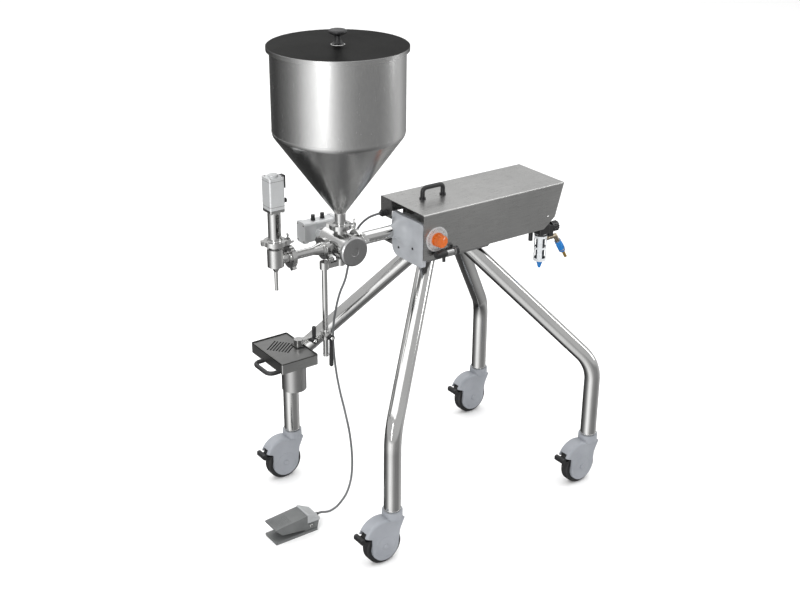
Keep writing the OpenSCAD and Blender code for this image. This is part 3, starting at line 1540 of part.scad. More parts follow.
placed() pedal_hose();
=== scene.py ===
# %% [markdown]
# # A piston filling machine, dressed piece by piece
# The frame is a imported CAD model: every rigid piece of the machine is already there, in metres, with the
# floor at Z = 0. Blender adds what the solids lack, which is finish, small fittings and a soft air line.
# One import loads the frame.

# %% Load the frame
import math

import bmesh
import bpy
from mathutils import Matrix, Vector


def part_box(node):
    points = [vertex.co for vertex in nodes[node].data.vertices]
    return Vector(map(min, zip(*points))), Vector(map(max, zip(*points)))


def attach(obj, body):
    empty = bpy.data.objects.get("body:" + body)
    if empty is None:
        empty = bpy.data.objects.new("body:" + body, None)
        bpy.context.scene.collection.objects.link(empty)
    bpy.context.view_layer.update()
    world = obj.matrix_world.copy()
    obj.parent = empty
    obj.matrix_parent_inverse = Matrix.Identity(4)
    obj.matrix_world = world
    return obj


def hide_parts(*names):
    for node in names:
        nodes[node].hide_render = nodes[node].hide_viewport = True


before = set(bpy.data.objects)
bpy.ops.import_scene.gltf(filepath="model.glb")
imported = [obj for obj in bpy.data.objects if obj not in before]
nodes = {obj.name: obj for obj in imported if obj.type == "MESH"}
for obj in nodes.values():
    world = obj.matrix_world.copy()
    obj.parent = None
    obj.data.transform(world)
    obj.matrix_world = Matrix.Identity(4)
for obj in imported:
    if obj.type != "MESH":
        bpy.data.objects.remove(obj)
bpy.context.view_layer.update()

# %% [markdown]
# The source of the solids was drawn round the hopper's axis, in millimetres. The frame's origin lies in the
# middle of the machine, so one shift turns a place measured from the hopper into one in the frame. It is read
# from the valve's body, right under the hopper. Where a solid's box is exact, it gives the other places too.

# %% Places measured from the hopper
HOPPER_X = sum(corner.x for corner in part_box("valve_body")) / 2


def at(x, y, z):
    """A point given in millimetres from the hopper's axis and the floor, in the frame's metres."""
    return Vector((x / 1000 + HOPPER_X, y / 1000, z / 1000))


def corners(node):
    """The lowest and the highest corner of a node's box, in millimetres from the hopper's axis."""
    return [(corner - at(0, 0, 0)) * 1000 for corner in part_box(node)]


def middle(node):
    """The middle of a node's box, in millimetres from the hopper's axis."""
    low, high = corners(node)
    return (low + high) / 2


print("hopper axis at", at(0, 0, 0))

# %% [markdown]
# The camera stands where the photograph was taken from: in front of the nozzle, a little to the dial's side
# and well above the hopper's rim. It looks down, so the floor fills the whole picture. Its axes are built
# from an azimuth, an elevation and a slight roll, which is easier to read than three Euler angles.

# %% Camera
CAMERA_AZIMUTH = math.radians(-35.524)
CAMERA_ELEVATION = math.radians(24.217)
CAMERA_ROLL = math.radians(-0.453)
CAMERA_PLACE = at(-1823.1, -2852.4, 2257.0)
CAMERA_LENS = 56.54
SENSOR_WIDTH = 36
FARTHEST = 100

back = Vector((
    math.sin(CAMERA_AZIMUTH) * math.cos(CAMERA_ELEVATION),
    -math.cos(CAMERA_AZIMUTH) * math.cos(CAMERA_ELEVATION),
    math.sin(CAMERA_ELEVATION),
))
level_right = (-back).cross(Vector((0, 0, 1))).normalized()
level_up = level_right.cross(-back)
right = level_right * math.cos(CAMERA_ROLL) - level_up * math.sin(CAMERA_ROLL)
up = level_right * math.sin(CAMERA_ROLL) + level_up * math.cos(CAMERA_ROLL)
turn = Matrix((right, up, back)).transposed().to_4x4()

camera_data = bpy.data.cameras.new("camera")
camera_data.sensor_width = SENSOR_WIDTH
camera_data.sensor_fit = "HORIZONTAL"
camera_data.lens = CAMERA_LENS
camera_data.clip_end = FARTHEST
camera = bpy.data.objects.new("camera", camera_data)
camera.matrix_world = Matrix.Translation(CAMERA_PLACE) @ turn
bpy.context.scene.collection.objects.link(camera)
bpy.context.scene.camera = camera
bpy.context.scene.view_settings.view_transform = "Standard"
print("camera at", CAMERA_PLACE, "lens", CAMERA_LENS)

# %% [markdown]
# The air line between the housing and the pedal is a soft polyurethane hose, seven millimetres thick. It
# leaves a black gland straight forward, falls under its own weight, runs down behind the front of the stand
# and swings out low over the floor to the back of the pedal. A curve follows the same points as the solid
# that it replaces, with a round bevel for its thickness.

# %% Air line to the pedal
HOSE_DIAMETER = 0.007
HOSE_POINTS = [
    (200, 80, 940), (180, 80, 940), (150, 84, 932), (118, 86, 908), (94, 82, 868), (78, 74, 820),
    (58, 66, 764), (34, 62, 722), (18, 60, 672), (8, 60, 610), (8, 58, 540), (14, 56, 470),
    (24, 52, 400), (38, 44, 320), (48, 34, 240), (50, 26, 160), (42, 20, 96), (20, 14, 48),
    (-16, 6, 22), (-50, -4, 19), (-74, -11, 26), (-94, -14, 34), (-112, -14, 34),
]
HOSE_STEPS = 6
TUBE_RESOLUTION = 6


def smooth_line(points, steps):
    """A Catmull-Rom line through the points, as the solid's source draws it."""
    line = []
    for i in range(len(points) - 1):
        a, b = points[max(i - 1, 0)], points[i]
        c, d = points[i + 1], points[min(i + 2, len(points) - 1)]
        for k in range(steps):
            t = k / steps
            line.append(0.5 * (2 * b + (c - a) * t + (2 * a - 5 * b + 4 * c - d) * t * t
                               + (3 * b - a - 3 * c + d) * t * t * t))
    line.append(points[-1])
    return line


def tube_curve(name, points, radius):
    """An open round tube along a line of points, with its ends closed."""
    data = bpy.data.curves.new(name, "CURVE")
    data.dimensions = "3D"
    spline = data.splines.new("POLY")
    spline.points.add(len(points) - 1)
    for place, point in zip(spline.points, points):
        place.co = (*point, 1)
    data.bevel_depth = radius
    data.bevel_resolution = TUBE_RESOLUTION
    data.use_fill_caps = True
    tube = bpy.data.objects.new(name, data)
    bpy.context.scene.collection.objects.link(tube)
    return tube


hose_line = smooth_line([at(*p) for p in HOSE_POINTS], HOSE_STEPS)
hose = tube_curve("air_line", hose_line, HOSE_DIAMETER / 2)
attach(hose, "stand")
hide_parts("pedal_hose")

# %% [markdown]
# Floor, studio and finishes are small node trees. A finish reads Object coordinates, so its pattern keeps
# its real size and doesn't slide. A few helpers make a tree's usual parts, and each is one function call.

# %% Helpers for node trees
EVEN = (1, 1, 1)
NOISE_ROUGHNESS = 0.55
PATTERN_LOW, PATTERN_HIGH = 0.3, 0.7
MASK_SOFT = 0.0004


def finish(name):
    """A new material with its shader and a place to read Object coordinates from."""
    material = bpy.data.materials.new(name)
    material.use_nodes = True
    tree = material.node_tree
    shader = tree.nodes["Principled BSDF"]
    place = tree.nodes.new("ShaderNodeTexCoord")
    return material, tree, shader, place.outputs["Object"]


def noise(tree, place, scale, stretch=EVEN, detail=4):
    """A noise value between 0 and 1, stretched along an axis where one factor is small."""
    mapping = tree.nodes.new("ShaderNodeMapping")
    mapping.inputs["Scale"].default_value = stretch
    pattern = tree.nodes.new("ShaderNodeTexNoise")
    pattern.inputs["Scale"].default_value = scale
    pattern.inputs["Detail"].default_value = detail
    pattern.inputs["Roughness"].default_value = NOISE_ROUGHNESS
    tree.links.new(place, mapping.inputs["Vector"])
    tree.links.new(mapping.outputs[0], pattern.inputs["Vector"])
    return pattern.outputs["Fac"]


def spread(tree, value, low, high, start=PATTERN_LOW, stop=PATTERN_HIGH):
    """A value between start and stop becomes one between low and high."""
    node = tree.nodes.new("ShaderNodeMapRange")
    node.inputs["From Min"].default_value = start
    node.inputs["From Max"].default_value = stop
    node.inputs["To Min"].default_value = low
    node.inputs["To Max"].default_value = high
    tree.links.new(value, node.inputs["Value"])
    return node.outputs["Result"]


def blend(tree, value, first, second):
    """A colour between two, chosen by a value between 0 and 1. Each is a triple or a socket."""
    node = tree.nodes.new("ShaderNodeMix")
    node.data_type = "RGBA"
    for socket, colour in ((node.inputs["A"], first), (node.inputs["B"], second)):
        if isinstance(colour, tuple):
            socket.default_value = (*colour, 1)
        else:
            tree.links.new(colour, socket)
    tree.links.new(value, node.inputs["Factor"])
    return node.outputs["Result"]


def sum_up(tree, operation, first, second):
    """The result of one operation on two values, each a number or a socket."""
    node = tree.nodes.new("ShaderNodeMath")
    node.operation = operation
    for socket, value in ((node.inputs[0], first), (node.inputs[1], second)):
        if isinstance(value, (int, float)):
            socket.default_value = value
        else:
            tree.links.new(value, socket)
    return node.outputs[0]


def relief(tree, shader, value, depth, strength):
    """Turns a value into small bumps on the shader."""
    node = tree.nodes.new("ShaderNodeBump")
    node.inputs["Distance"].default_value = depth
    node.inputs["Strength"].default_value = strength
    tree.links.new(value, node.inputs["Height"])
    tree.links.new(node.outputs[0], shader.inputs["Normal"])


def beyond(tree, place, centre, direction):
    """A mask: 1 where a place lies beyond the plane through a point, along a direction, and 0 before it."""
    shift = tree.nodes.new("ShaderNodeVectorMath")
    shift.operation = "SUBTRACT"
    tree.links.new(place, shift.inputs[0])
    shift.inputs[1].default_value = centre
    along = tree.nodes.new("ShaderNodeVectorMath")
    along.operation = "DOT_PRODUCT"
    tree.links.new(shift.outputs[0], along.inputs[0])
    along.inputs[1].default_value = direction
    return spread(tree, along.outputs["Value"], 0, 1, -MASK_SOFT, MASK_SOFT)


print("patterns run from", PATTERN_LOW, "to", PATTERN_HIGH)

# %% [markdown]
# A white floor in a studio. Polished steel shows what stands round it, so the studio's walls are not one
# even white: soft zones round the horizon give the long dark and bright bands on the tubes and the hopper
# where the photograph has them. The photograph's floor was put in afterwards, so steel doesn't mirror it:
# the floor here is left out of sharp reflections too, and the walls go on below the horizon instead.

# %% Floor
FLOOR_HALF = 40.0
FLOOR_SIGNS = [(-1, -1), (1, -1), (1, 1), (-1, 1)]
FLOOR_WHITE = (0.93, 0.93, 0.93, 1)
FLOOR_ROUGHNESS = 0.75
FLOOR_GLOSS = 0.2
floor_mesh = bpy.data.meshes.new("floor")
floor_corners = [(x * FLOOR_HALF, y * FLOOR_HALF, 0) for x, y in FLOOR_SIGNS]
floor_mesh.from_pydata(floor_corners, [], [(0, 1, 2, 3)])
floor = bpy.data.objects.new("floor", floor_mesh)
bpy.context.scene.collection.objects.link(floor)
floor_paint = bpy.data.materials.new("floor_paint")
floor_paint.use_nodes = True
floor_shader = floor_paint.node_tree.nodes["Principled BSDF"]
floor_shader.inputs["Base Color"].default_value = FLOOR_WHITE
floor_shader.inputs["Roughness"].default_value = FLOOR_ROUGHNESS
floor_shader.inputs["Specular IOR Level"].default_value = FLOOR_GLOSS
floor_mesh.materials.append(floor_paint)
floor.visible_glossy = False
print("floor:", 2 * FLOOR_HALF, "m wide")

# %% [markdown]
# The studio round the machine is only a world shader. Below the horizon a colour ramp, read by the compass
# angle, gives the walls' bands, which grow dimmer underfoot. Above the horizon the light is one plain grey.

# %% World
SKY_STRENGTH = 2.0
SKY_ABOVE = 0.37
SKY_UNDERFOOT = 0.35
SKY_FADE_START, SKY_FADE_END = -0.35, -1.0
HORIZON_START, HORIZON_END = -0.12, 0.0
SKY_BANDS = [
    (0.00, 0.62), (0.06, 1.00), (0.13, 0.70), (0.18, 0.34), (0.25, 0.20), (0.36, 0.18), (0.43, 0.26),
    (0.50, 0.44), (0.56, 0.22), (0.64, 0.10), (0.72, 0.05), (0.80, 0.03), (0.90, 0.13), (0.96, 0.30),
    (1.00, 0.62),
]
world = bpy.data.worlds.new("studio")
bpy.context.scene.world = world
world.use_nodes = True
sky = world.node_tree
sky_background = sky.nodes["Background"]
sky_background.inputs["Strength"].default_value = SKY_STRENGTH
sky_place = sky.nodes.new("ShaderNodeTexCoord")
sky_split = sky.nodes.new("ShaderNodeSeparateXYZ")
sky.links.new(sky_place.outputs["Generated"], sky_split.inputs[0])
sky_height = sky_split.outputs["Z"]
sky_angle = sum_up(sky, "ARCTAN2", sky_split.outputs["Y"], sky_split.outputs["X"])
sky_bands = sky.nodes.new("ShaderNodeValToRGB")
while len(sky_bands.color_ramp.elements) < len(SKY_BANDS):
    sky_bands.color_ramp.elements.new(1.0)
for element, (place, level) in zip(sky_bands.color_ramp.elements, SKY_BANDS):
    element.position = place
    element.color = (level, level, level, 1)
sky.links.new(spread(sky, sky_angle, 0, 1, -math.pi, math.pi), sky_bands.inputs["Fac"])
sky_fade = spread(sky, sky_height, SKY_UNDERFOOT, 1, SKY_FADE_END, SKY_FADE_START)
sky_below = sum_up(sky, "MULTIPLY", sky_bands.outputs["Color"], sky_fade)
sky_mix = sky.nodes.new("ShaderNodeMix")
sky_mix.inputs["B"].default_value = SKY_ABOVE
sky.links.new(spread(sky, sky_height, 0, 1, HORIZON_START, HORIZON_END), sky_mix.inputs["Factor"])
sky.links.new(sky_below, sky_mix.inputs["A"])
sky.links.new(sky_mix.outputs["Result"], sky_background.inputs["Color"])
print("studio walls in", len(SKY_BANDS), "bands")

# %% [markdown]
# One wide lamp overhead softens every shadow on the floor, as the photograph has it, and a tall narrow one
# on each side adds a bright upright line to tubes and cylinders.

# %% Lamps
LAMP_AIM = Vector((-0.1, 0, 0.9))
LAMPS = {
    "lamp_top": ((-0.5, 1.5, 8.0), 14.0, 14.0, 900),
    "lamp_left": ((-3.4, -2.2, 1.9), 0.8, 2.6, 70),
    "lamp_right": ((3.6, -1.6, 2.2), 0.6, 3.2, 45),
}


def soft_lamp(name, place, aim, width, height, power):
    """A rectangular area lamp that looks at a point."""
    data = bpy.data.lights.new(name, "AREA")
    data.shape = "RECTANGLE"
    data.size = width
    data.size_y = height
    data.energy = power
    lamp = bpy.data.objects.new(name, data)
    toward = (aim - place).normalized()
    lamp.matrix_world = Matrix.Translation(place) @ toward.to_track_quat("-Z", "Y").to_matrix().to_4x4()
    bpy.context.scene.collection.objects.link(lamp)


for lamp_name, (lamp_place, lamp_width, lamp_height, lamp_power) in LAMPS.items():
    soft_lamp(lamp_name, Vector(lamp_place), LAMP_AIM, lamp_width, lamp_height, lamp_power)
print("lamps:", len(LAMPS))

# %% [markdown]
# Stainless steel is a metal shader whose roughness and colour vary a little. On the real machine the sheet
# is ground along its length, the tubes are polished, and the hopper is bead-blasted to a cloudy satin. One
# function makes all of them from a colour, a roughness range, and the direction and scale of the grain.

# %% A metal
ALONG_X = (0.03, 1, 1)
UPRIGHT = (1, 1, 0.03)
FAINTLY_UPRIGHT = (1, 1, 0.15)
CLOUD_SCALE = 6
SMEAR_SCALE = 40
SMEAR_STRETCH = (1, 1, 0.3)
TONE_BY_LINES, TONE_BY_CLOUDS = 0.5, 0.5
WORN_BY_LINES, WORN_BY_SMEARS = 0.7, 0.3


def weighed(tree, first, first_share, second, second_share):
    """The sum of two values, each by its share."""
    return sum_up(tree, "ADD", sum_up(tree, "MULTIPLY", first, first_share),
                  sum_up(tree, "MULTIPLY", second, second_share))


def metal(name, dark, light, rough, grain=EVEN, scale=300, depth=0.0002, strength=0.15, metallic=1.0,
          edge=1.0, lower=None):
    """A metal with a grain in one direction and broad cloudy changes of tone.

    edge dims what it mirrors at a glancing angle. lower is (height, dark, light): two other tones that it
    has below a height; above that height the main tones then paint a dark reflection onto a top face.
    """
    material, tree, shader, place = finish(name)
    shader.inputs["Metallic"].default_value = metallic
    shader.inputs["Specular Tint"].default_value = (edge, edge, edge, 1)
    lines = noise(tree, place, scale, grain, detail=6)
    clouds = noise(tree, place, CLOUD_SCALE, detail=3)
    smears = noise(tree, place, SMEAR_SCALE, SMEAR_STRETCH, detail=3)
    tone = weighed(tree, lines, TONE_BY_LINES, clouds, TONE_BY_CLOUDS)
    colour = blend(tree, spread(tree, tone, 0, 1), dark, light)
    # When lower is given, the tones above the height are a painted dark reflection on a top face.
    if lower:
        height, lower_dark, lower_light = lower
        below = beyond(tree, place, (0, 0, height), (0, 0, -1))
        colour = blend(tree, below, colour, blend(tree, spread(tree, tone, 0, 1), lower_dark, lower_light))
    tree.links.new(colour, shader.inputs["Base Color"])
    worn = weighed(tree, lines, WORN_BY_LINES, smears, WORN_BY_SMEARS)
    tree.links.new(spread(tree, worn, rough[0], rough[1]), shader.inputs["Roughness"])
    relief(tree, shader, lines, depth, strength)
    return material


print("grains of metal:", ALONG_X, UPRIGHT, FAINTLY_UPRIGHT, EVEN)

# %% [markdown]
# The flat tops of the tray and of the lid look almost black in the photograph, because they mirror a dark
# part of the studio. That reflection is painted: their tops get dark base colours and a dimmed glancing
# reflection, and a mask by height gives what lies lower on the same solid the tone of plain steel.

# %% Metals
DECK_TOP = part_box("tray")[1].z - 0.0032
LID_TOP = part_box("hopper_lid")[1].z - 0.0008
sheet_steel = metal(
    "ground_sheet", (0.38, 0.38, 0.375), (0.50, 0.50, 0.492), rough=(0.24, 0.36), grain=ALONG_X, scale=900)
# Painted reflection: the tray's top is dark in colour for the dark studio it mirrors, and its sides are plain
# steel.
tray_steel_painted_dark_top = metal(
    "ground_tray_painted_dark_top", (0.10, 0.10, 0.099), (0.16, 0.16, 0.158), rough=(0.26, 0.38), grain=ALONG_X, scale=900,
    edge=0.5, lower=(DECK_TOP, (0.34, 0.34, 0.336), (0.46, 0.46, 0.455)))
tube_steel = metal(
    "polished_tube", (0.46, 0.46, 0.456), (0.60, 0.60, 0.592), rough=(0.08, 0.15), grain=UPRIGHT, scale=700)
hopper_steel = metal(
    "blasted_hopper", (0.43, 0.43, 0.428), (0.50, 0.50, 0.495), rough=(0.21, 0.28), grain=FAINTLY_UPRIGHT,
    scale=420, depth=0.0001, strength=0.04)
# Painted reflection: the lid's top is dark in colour for the dark studio it mirrors, and its rim is plain
# steel.
lid_steel_painted_dark_top = metal(
    "turned_lid_painted_dark_top", (0.05, 0.05, 0.05), (0.09, 0.09, 0.089), rough=(0.26, 0.38), edge=0.35,
    lower=(LID_TOP, (0.36, 0.36, 0.358), (0.48, 0.48, 0.475)))
bright_steel = metal(
    "bright_fitting", (0.43, 0.43, 0.426), (0.60, 0.60, 0.592), rough=(0.12, 0.22), scale=500)
dull_steel = metal("dull_casting", (0.26, 0.26, 0.262), (0.38, 0.38, 0.38), rough=(0.28, 0.45), scale=350)
alloy = metal(
    "anodised_alloy", (0.52, 0.53, 0.535), (0.66, 0.67, 0.675), rough=(0.34, 0.46), scale=500, metallic=0.55)
brass = metal("plain_brass", (0.55, 0.36, 0.13), (0.74, 0.52, 0.21), rough=(0.22, 0.36), scale=500)
print("metals and the floor's paint:", len(bpy.data.materials))

# %% [markdown]
# Plastics and rubber are not metal: their colour is plain, and what tells them apart is how sharp their
# gloss is and how fine the texture of the mould is.

# %% Plastics, rubber and paint
MOULD_CLOUD_SCALE = 12
MOULD_DEPTH = 0.0002


def moulded(name, dark, light, rough, scale=900, strength=0.15, coat=0.0):
    """Plastic, rubber or paint with a fine moulded grain."""
    material, tree, shader, place = finish(name)
    shader.inputs["Coat Weight"].default_value = coat
    grains = noise(tree, place, scale)
    clouds = noise(tree, place, MOULD_CLOUD_SCALE, detail=3)
    tree.links.new(blend(tree, spread(tree, clouds, 0, 1), dark, light), shader.inputs["Base Color"])
    tree.links.new(spread(tree, grains, rough[0], rough[1]), shader.inputs["Roughness"])
    relief(tree, shader, grains, MOULD_DEPTH, strength)
    return material


black_matte = moulded("black_grip", (0.006, 0.006, 0.007), (0.014, 0.014, 0.015), rough=(0.40, 0.55))
black_gloss = moulded(
    "black_knob", (0.005, 0.005, 0.006), (0.011, 0.011, 0.012), rough=(0.20, 0.32), strength=0.06)
tread_rubber = moulded(
    "tread_rubber", (0.008, 0.008, 0.009), (0.020, 0.020, 0.021), rough=(0.50, 0.70), scale=500)
hood_plastic = moulded("hood_plastic", (0.24, 0.253, 0.275), (0.29, 0.303, 0.33), rough=(0.38, 0.50))
orange_plastic = moulded(
    "orange_knob", (0.46, 0.085, 0.006), (0.56, 0.12, 0.008), rough=(0.28, 0.38), strength=0.08)
white_plastic = moulded(
    "white_plastic", (0.78, 0.78, 0.77), (0.88, 0.88, 0.87), rough=(0.30, 0.42), strength=0.06)
seal_rubber = moulded("seal_rubber", (0.55, 0.55, 0.52), (0.70, 0.70, 0.66), rough=(0.45, 0.60))
hose_rubber = moulded(
    "hose_rubber", (0.085, 0.088, 0.092), (0.13, 0.135, 0.14), rough=(0.30, 0.42), scale=600)
plate_paint = moulded(
    "plate_paint", (0.29, 0.302, 0.32), (0.38, 0.394, 0.415), rough=(0.30, 0.42), scale=700, coat=0.1)
pedal_paint = moulded(
    "pedal_paint", (0.085, 0.09, 0.09), (0.13, 0.135, 0.135), rough=(0.40, 0.52), scale=800)
print("finishes so far:", len(bpy.data.materials))

# %% [markdown]
# Some solids are one piece of CAD but several colours on the real machine: the filter's bowl is a pale guard
# over a dark cup with a blue drain, the inlet is brass, then blue, then brass, and the throttle has a steel
# sleeve before its black knob. A mask tells such parts apart: it is 1 beyond a plane and 0 before it. That
# keeps the solid whole, and the colour changes exactly where the real parts meet.

# %% A finish with more than one colour
SHADE = 0.85
LAYER_CLOUD_SCALE = 30
LAYER_GRAIN_SCALE = 800


def shaded(colour):
    """The darker tone that a colour is clouded with."""
    return tuple(SHADE * part for part in colour)


def layered(name, ground, layers, rough, metallic=0.0):
    """A finish whose colour and metal change by masks: layers of (mask maker, colour, metal or not)."""
    material, tree, shader, place = finish(name)
    clouds = noise(tree, place, LAYER_CLOUD_SCALE, detail=3)
    grains = noise(tree, place, LAYER_GRAIN_SCALE)
    colour = blend(tree, spread(tree, clouds, 0, 1), shaded(ground), ground)
    metal_part = metallic
    for mask_of, paint, is_metal in layers:
        mask = mask_of(tree, place)
        tone = blend(tree, spread(tree, clouds, 0, 1), shaded(paint), paint)
        colour = blend(tree, mask, colour, tone)
        kept = sum_up(tree, "MULTIPLY", metal_part, sum_up(tree, "SUBTRACT", 1.0, mask))
        metal_part = sum_up(tree, "ADD", kept, sum_up(tree, "MULTIPLY", mask, 1.0 if is_metal else 0.0))
    tree.links.new(colour, shader.inputs["Base Color"])
    if not isinstance(metal_part, float):
        tree.links.new(metal_part, shader.inputs["Metallic"])
    tree.links.new(spread(tree, grains, rough[0], rough[1]), shader.inputs["Roughness"])
    relief(tree, shader, grains, depth=0.0002, strength=0.1)
    return material


def past(point, way):
    """A mask maker for a plane, given by a point on it and the direction that leads beyond it."""
    return lambda tree, place: beyond(tree, place, point, way)


print("darker tone:", SHADE)

# %% [markdown]
# Each change of colour is a plane through a point of the real part: the top of the drain, the two ends of
# the coupling's blue sleeve, the end of the throttle's steel sleeve and the underside of the pedal's cap.
# The dark cup stands inside the pale guard, so its mask goes by the distance from the bowl's axis.

# %% Where the colours change
DOWN, UP, FORWARD, BACKWARD = (0, 0, -1), (0, 0, 1), (-1, 0, 0), (1, 0, 0)
BOWL_X = 700
AIR_UNIT_Y = middle("regulator_knob").y
BOWL_AXIS = at(BOWL_X, AIR_UNIT_Y, 0)
BOWL_INNER = 0.0165
DRAIN_TOP = at(0, 0, 728)
LEAN = math.radians(32)
PLUG_WAY = Vector((math.sin(LEAN), 0, -math.cos(LEAN)))
PLUG_START = at(761, AIR_UNIT_Y, 797)
SLEEVE_START = PLUG_START + PLUG_WAY * 0.0225
SLEEVE_END = PLUG_START + PLUG_WAY * 0.0676
THROTTLE_SLEEVE_END = at(319.8, 0, 0)
PEDAL_CAP_START = at(0, 0, 36.2)
BLUE = (0.005, 0.17, 0.50)
SMOKED = (0.035, 0.040, 0.048)
PLUG_BRASS = (0.62, 0.42, 0.14)
THROTTLE_BLACK = (0.010, 0.010, 0.011)
PEDAL_CAP_GREY = (0.36, 0.37, 0.375)


def inside_bowl(tree, place):
    """A mask that is 1 within the dark cup, by the distance from the bowl's upright axis."""
    flat = tree.nodes.new("ShaderNodeVectorMath")
    flat.operation = "MULTIPLY"
    tree.links.new(place, flat.inputs[0])
    flat.inputs[1].default_value = (1, 1, 0)
    gap = tree.nodes.new("ShaderNodeVectorMath")
    gap.operation = "DISTANCE"
    tree.links.new(flat.outputs[0], gap.inputs[0])
    gap.inputs[1].default_value = BOWL_AXIS
    return spread(tree, gap.outputs["Value"], 1, 0, BOWL_INNER - MASK_SOFT, BOWL_INNER + MASK_SOFT)


bowl_finish = layered("bowl_guard", (0.66, 0.68, 0.70), [
    (inside_bowl, SMOKED, False),
    (past(DRAIN_TOP, DOWN), BLUE, False),
], rough=(0.22, 0.34))
plug_finish = layered("inlet_plug", (0.42, 0.36, 0.27), [
    (past(SLEEVE_START, PLUG_WAY), BLUE, False),
    (past(SLEEVE_END, PLUG_WAY), PLUG_BRASS, True),
], rough=(0.24, 0.36), metallic=1.0)
throttle_finish = layered("throttle_sleeve", (0.55, 0.55, 0.55), [
    (past(THROTTLE_SLEEVE_END, BACKWARD), THROTTLE_BLACK, False),
], rough=(0.18, 0.30), metallic=1.0)
pedal_finish = layered("pedal_base_paint", (0.14, 0.145, 0.145), [
    (past(PEDAL_CAP_START, UP), PEDAL_CAP_GREY, False),
], rough=(0.42, 0.54))
print("finishes in all:", len(bpy.data.materials))

# %% [markdown]
# Every node of the frame gets its finish from one list, and a loop adds the four castors.

# %% Put the finishes on the nodes
NODE_FINISH = {
    sheet_steel: ["housing_cover"],
    tray_steel_painted_dark_top: ["tray"],
    lid_steel_painted_dark_top: ["hopper_lid"],
    tube_steel: ["front_leg_left", "front_leg_right", "rear_leg_left", "rear_leg_right",
                 "metering_cylinder", "outlet_pipe", "support_rod", "piston_rod"],
    hopper_steel: ["hopper"],
    bright_steel: ["castor_stems", "pipe_clamps", "nozzle_body", "nozzle_plunger", "rod_bracket", "tray_arm",
                   "nozzle_lantern", "valve_body"],
    dull_steel: ["chassis", "valve_cover"],
    alloy: ["drive_cylinder", "valve_actuator", "nozzle_cylinder", "scale_ring"],
    plate_paint: ["front_flange"],
    white_plastic: ["valve_plug"],
    bowl_finish: ["filter_bowl"],
    black_matte: ["carry_handle", "lid_knob", "tray_handle", "rod_lever", "arm_lever", "filter_unit",
                  "air_fittings"],
    throttle_finish: ["throttle_knob"],
    black_gloss: ["regulator_knob"],
    orange_plastic: ["dial_knob"],
    pedal_finish: ["pedal_base"],
    pedal_paint: ["treadle"],
    seal_rubber: ["clamp_gaskets"],
    plug_finish: ["inlet_coupling"],
    hose_rubber: ["pedal_hose"],
}
CASTORS = range(1, 5)
for castor in CASTORS:
    NODE_FINISH.setdefault(hood_plastic, []).extend([f"castor_{castor}_hood", f"castor_{castor}_hub"])
    NODE_FINISH.setdefault(tread_rubber, []).append(f"castor_{castor}_tyre")
    NODE_FINISH[black_matte].append(f"castor_{castor}_brake")


def put(material, piece):
    """The piece wears this material in every slot."""
    if not piece.material_slots:
        piece.data.materials.append(material)
    for place in piece.material_slots:
        place.material = material


for material, names in NODE_FINISH.items():
    for name in names:
        put(material, nodes[name])
put(hose_rubber, hose)
print("nodes without a finish:", [name for name in nodes if name not in sum(NODE_FINISH.values(), [])])

# %% [markdown]
# Small turned pieces. Screws, nuts, washers and caps are all shapes of a lathe: an outline of radius and
# height that is spun round an axis. A spin in code gives full control over the number of faces. The bottom
# and top of the outline close at the axis, and the normals are made to point outwards at the end.

# %% A lathe in code
ON_AXIS = 1e-7


def circle_points(radius, height, sides):
    """The corners of a regular polygon round Z, at a height."""
    angles = [2 * math.pi * k / sides for k in range(sides)]
    return [(radius * math.cos(angle), radius * math.sin(angle), height) for angle in angles]


def finished_mesh(name, work):
    """A mesh from the work in hand, its normals pointing outwards."""
    bmesh.ops.recalc_face_normals(work, faces=work.faces)
    data = bpy.data.meshes.new(name)
    work.to_mesh(data)
    work.free()
    return data


def lathe_mesh(name, outline, sides):
    """A closed mesh spun round Z from points of (radius, height) in metres, with both ends on the axis."""
    work = bmesh.new()
    rings = []
    for radius, height in outline:
        if radius < ON_AXIS:
            rings.append([work.verts.new((0, 0, height))])
        else:
            rings.append([work.verts.new(point) for point in circle_points(radius, height, sides)])
    for low, high in zip(rings, rings[1:]):
        for k in range(sides):
            n = (k + 1) % sides
            corners = [low[k % len(low)], low[n % len(low)], high[n % len(high)], high[k % len(high)]]
            corners = list(dict.fromkeys(corners))
            if len(corners) > 2:
                work.faces.new(corners)
    return finished_mesh(name, work)


print("on the axis within", ON_AXIS, "m")

# %% [markdown]
# A piece is drawn round Z at the origin, carried to its place, given its finish, and told which body it
# rides on. These steps are the same for every piece, so they are written once.
# Most of the small pieces are bright steel or black plastic: a slot and a finish that go together.

# %% Place a piece and dress it
SMOOTH_ANGLE = 35
ROUND_SIDES = 32
BRIGHT = ("steel_polished", bright_steel)
BLACK = ("black_plastic", black_matte)


def facing(place, way, spin=0.0):
    """The matrix that carries a piece drawn round Z to a place, with its Z along a direction."""
    rotation = Vector(way).normalized().to_track_quat("Z", "Y").to_matrix().to_4x4()
    return Matrix.Translation(place) @ rotation @ Matrix.Rotation(spin, 4, "Z")


def settle(name, data, body, slot, material, smooth=None):
    """Makes a finished piece from a mesh that is already in place: its object stays at the origin.

    smooth is the angle in degrees from which an edge stays sharp, or None for flat faces.
    """
    piece = bpy.data.objects.new(name, data)
    bpy.context.scene.collection.objects.link(piece)
    if smooth:
        data.polygons.foreach_set("use_smooth", [True] * len(data.polygons))
        data.set_sharp_from_angle(angle=math.radians(smooth))
    put(material, piece)
    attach(piece, body)
    return piece


def turned(name, outline, place, way, body, slot, material, sides=ROUND_SIDES, smooth=SMOOTH_ANGLE):
    """One lathe piece, its outline in millimetres."""
    data = lathe_mesh(name, [(r / 1000, z / 1000) for r, z in outline], sides)
    data.transform(facing(place, way))
    return settle(name, data, body, slot, material, smooth)


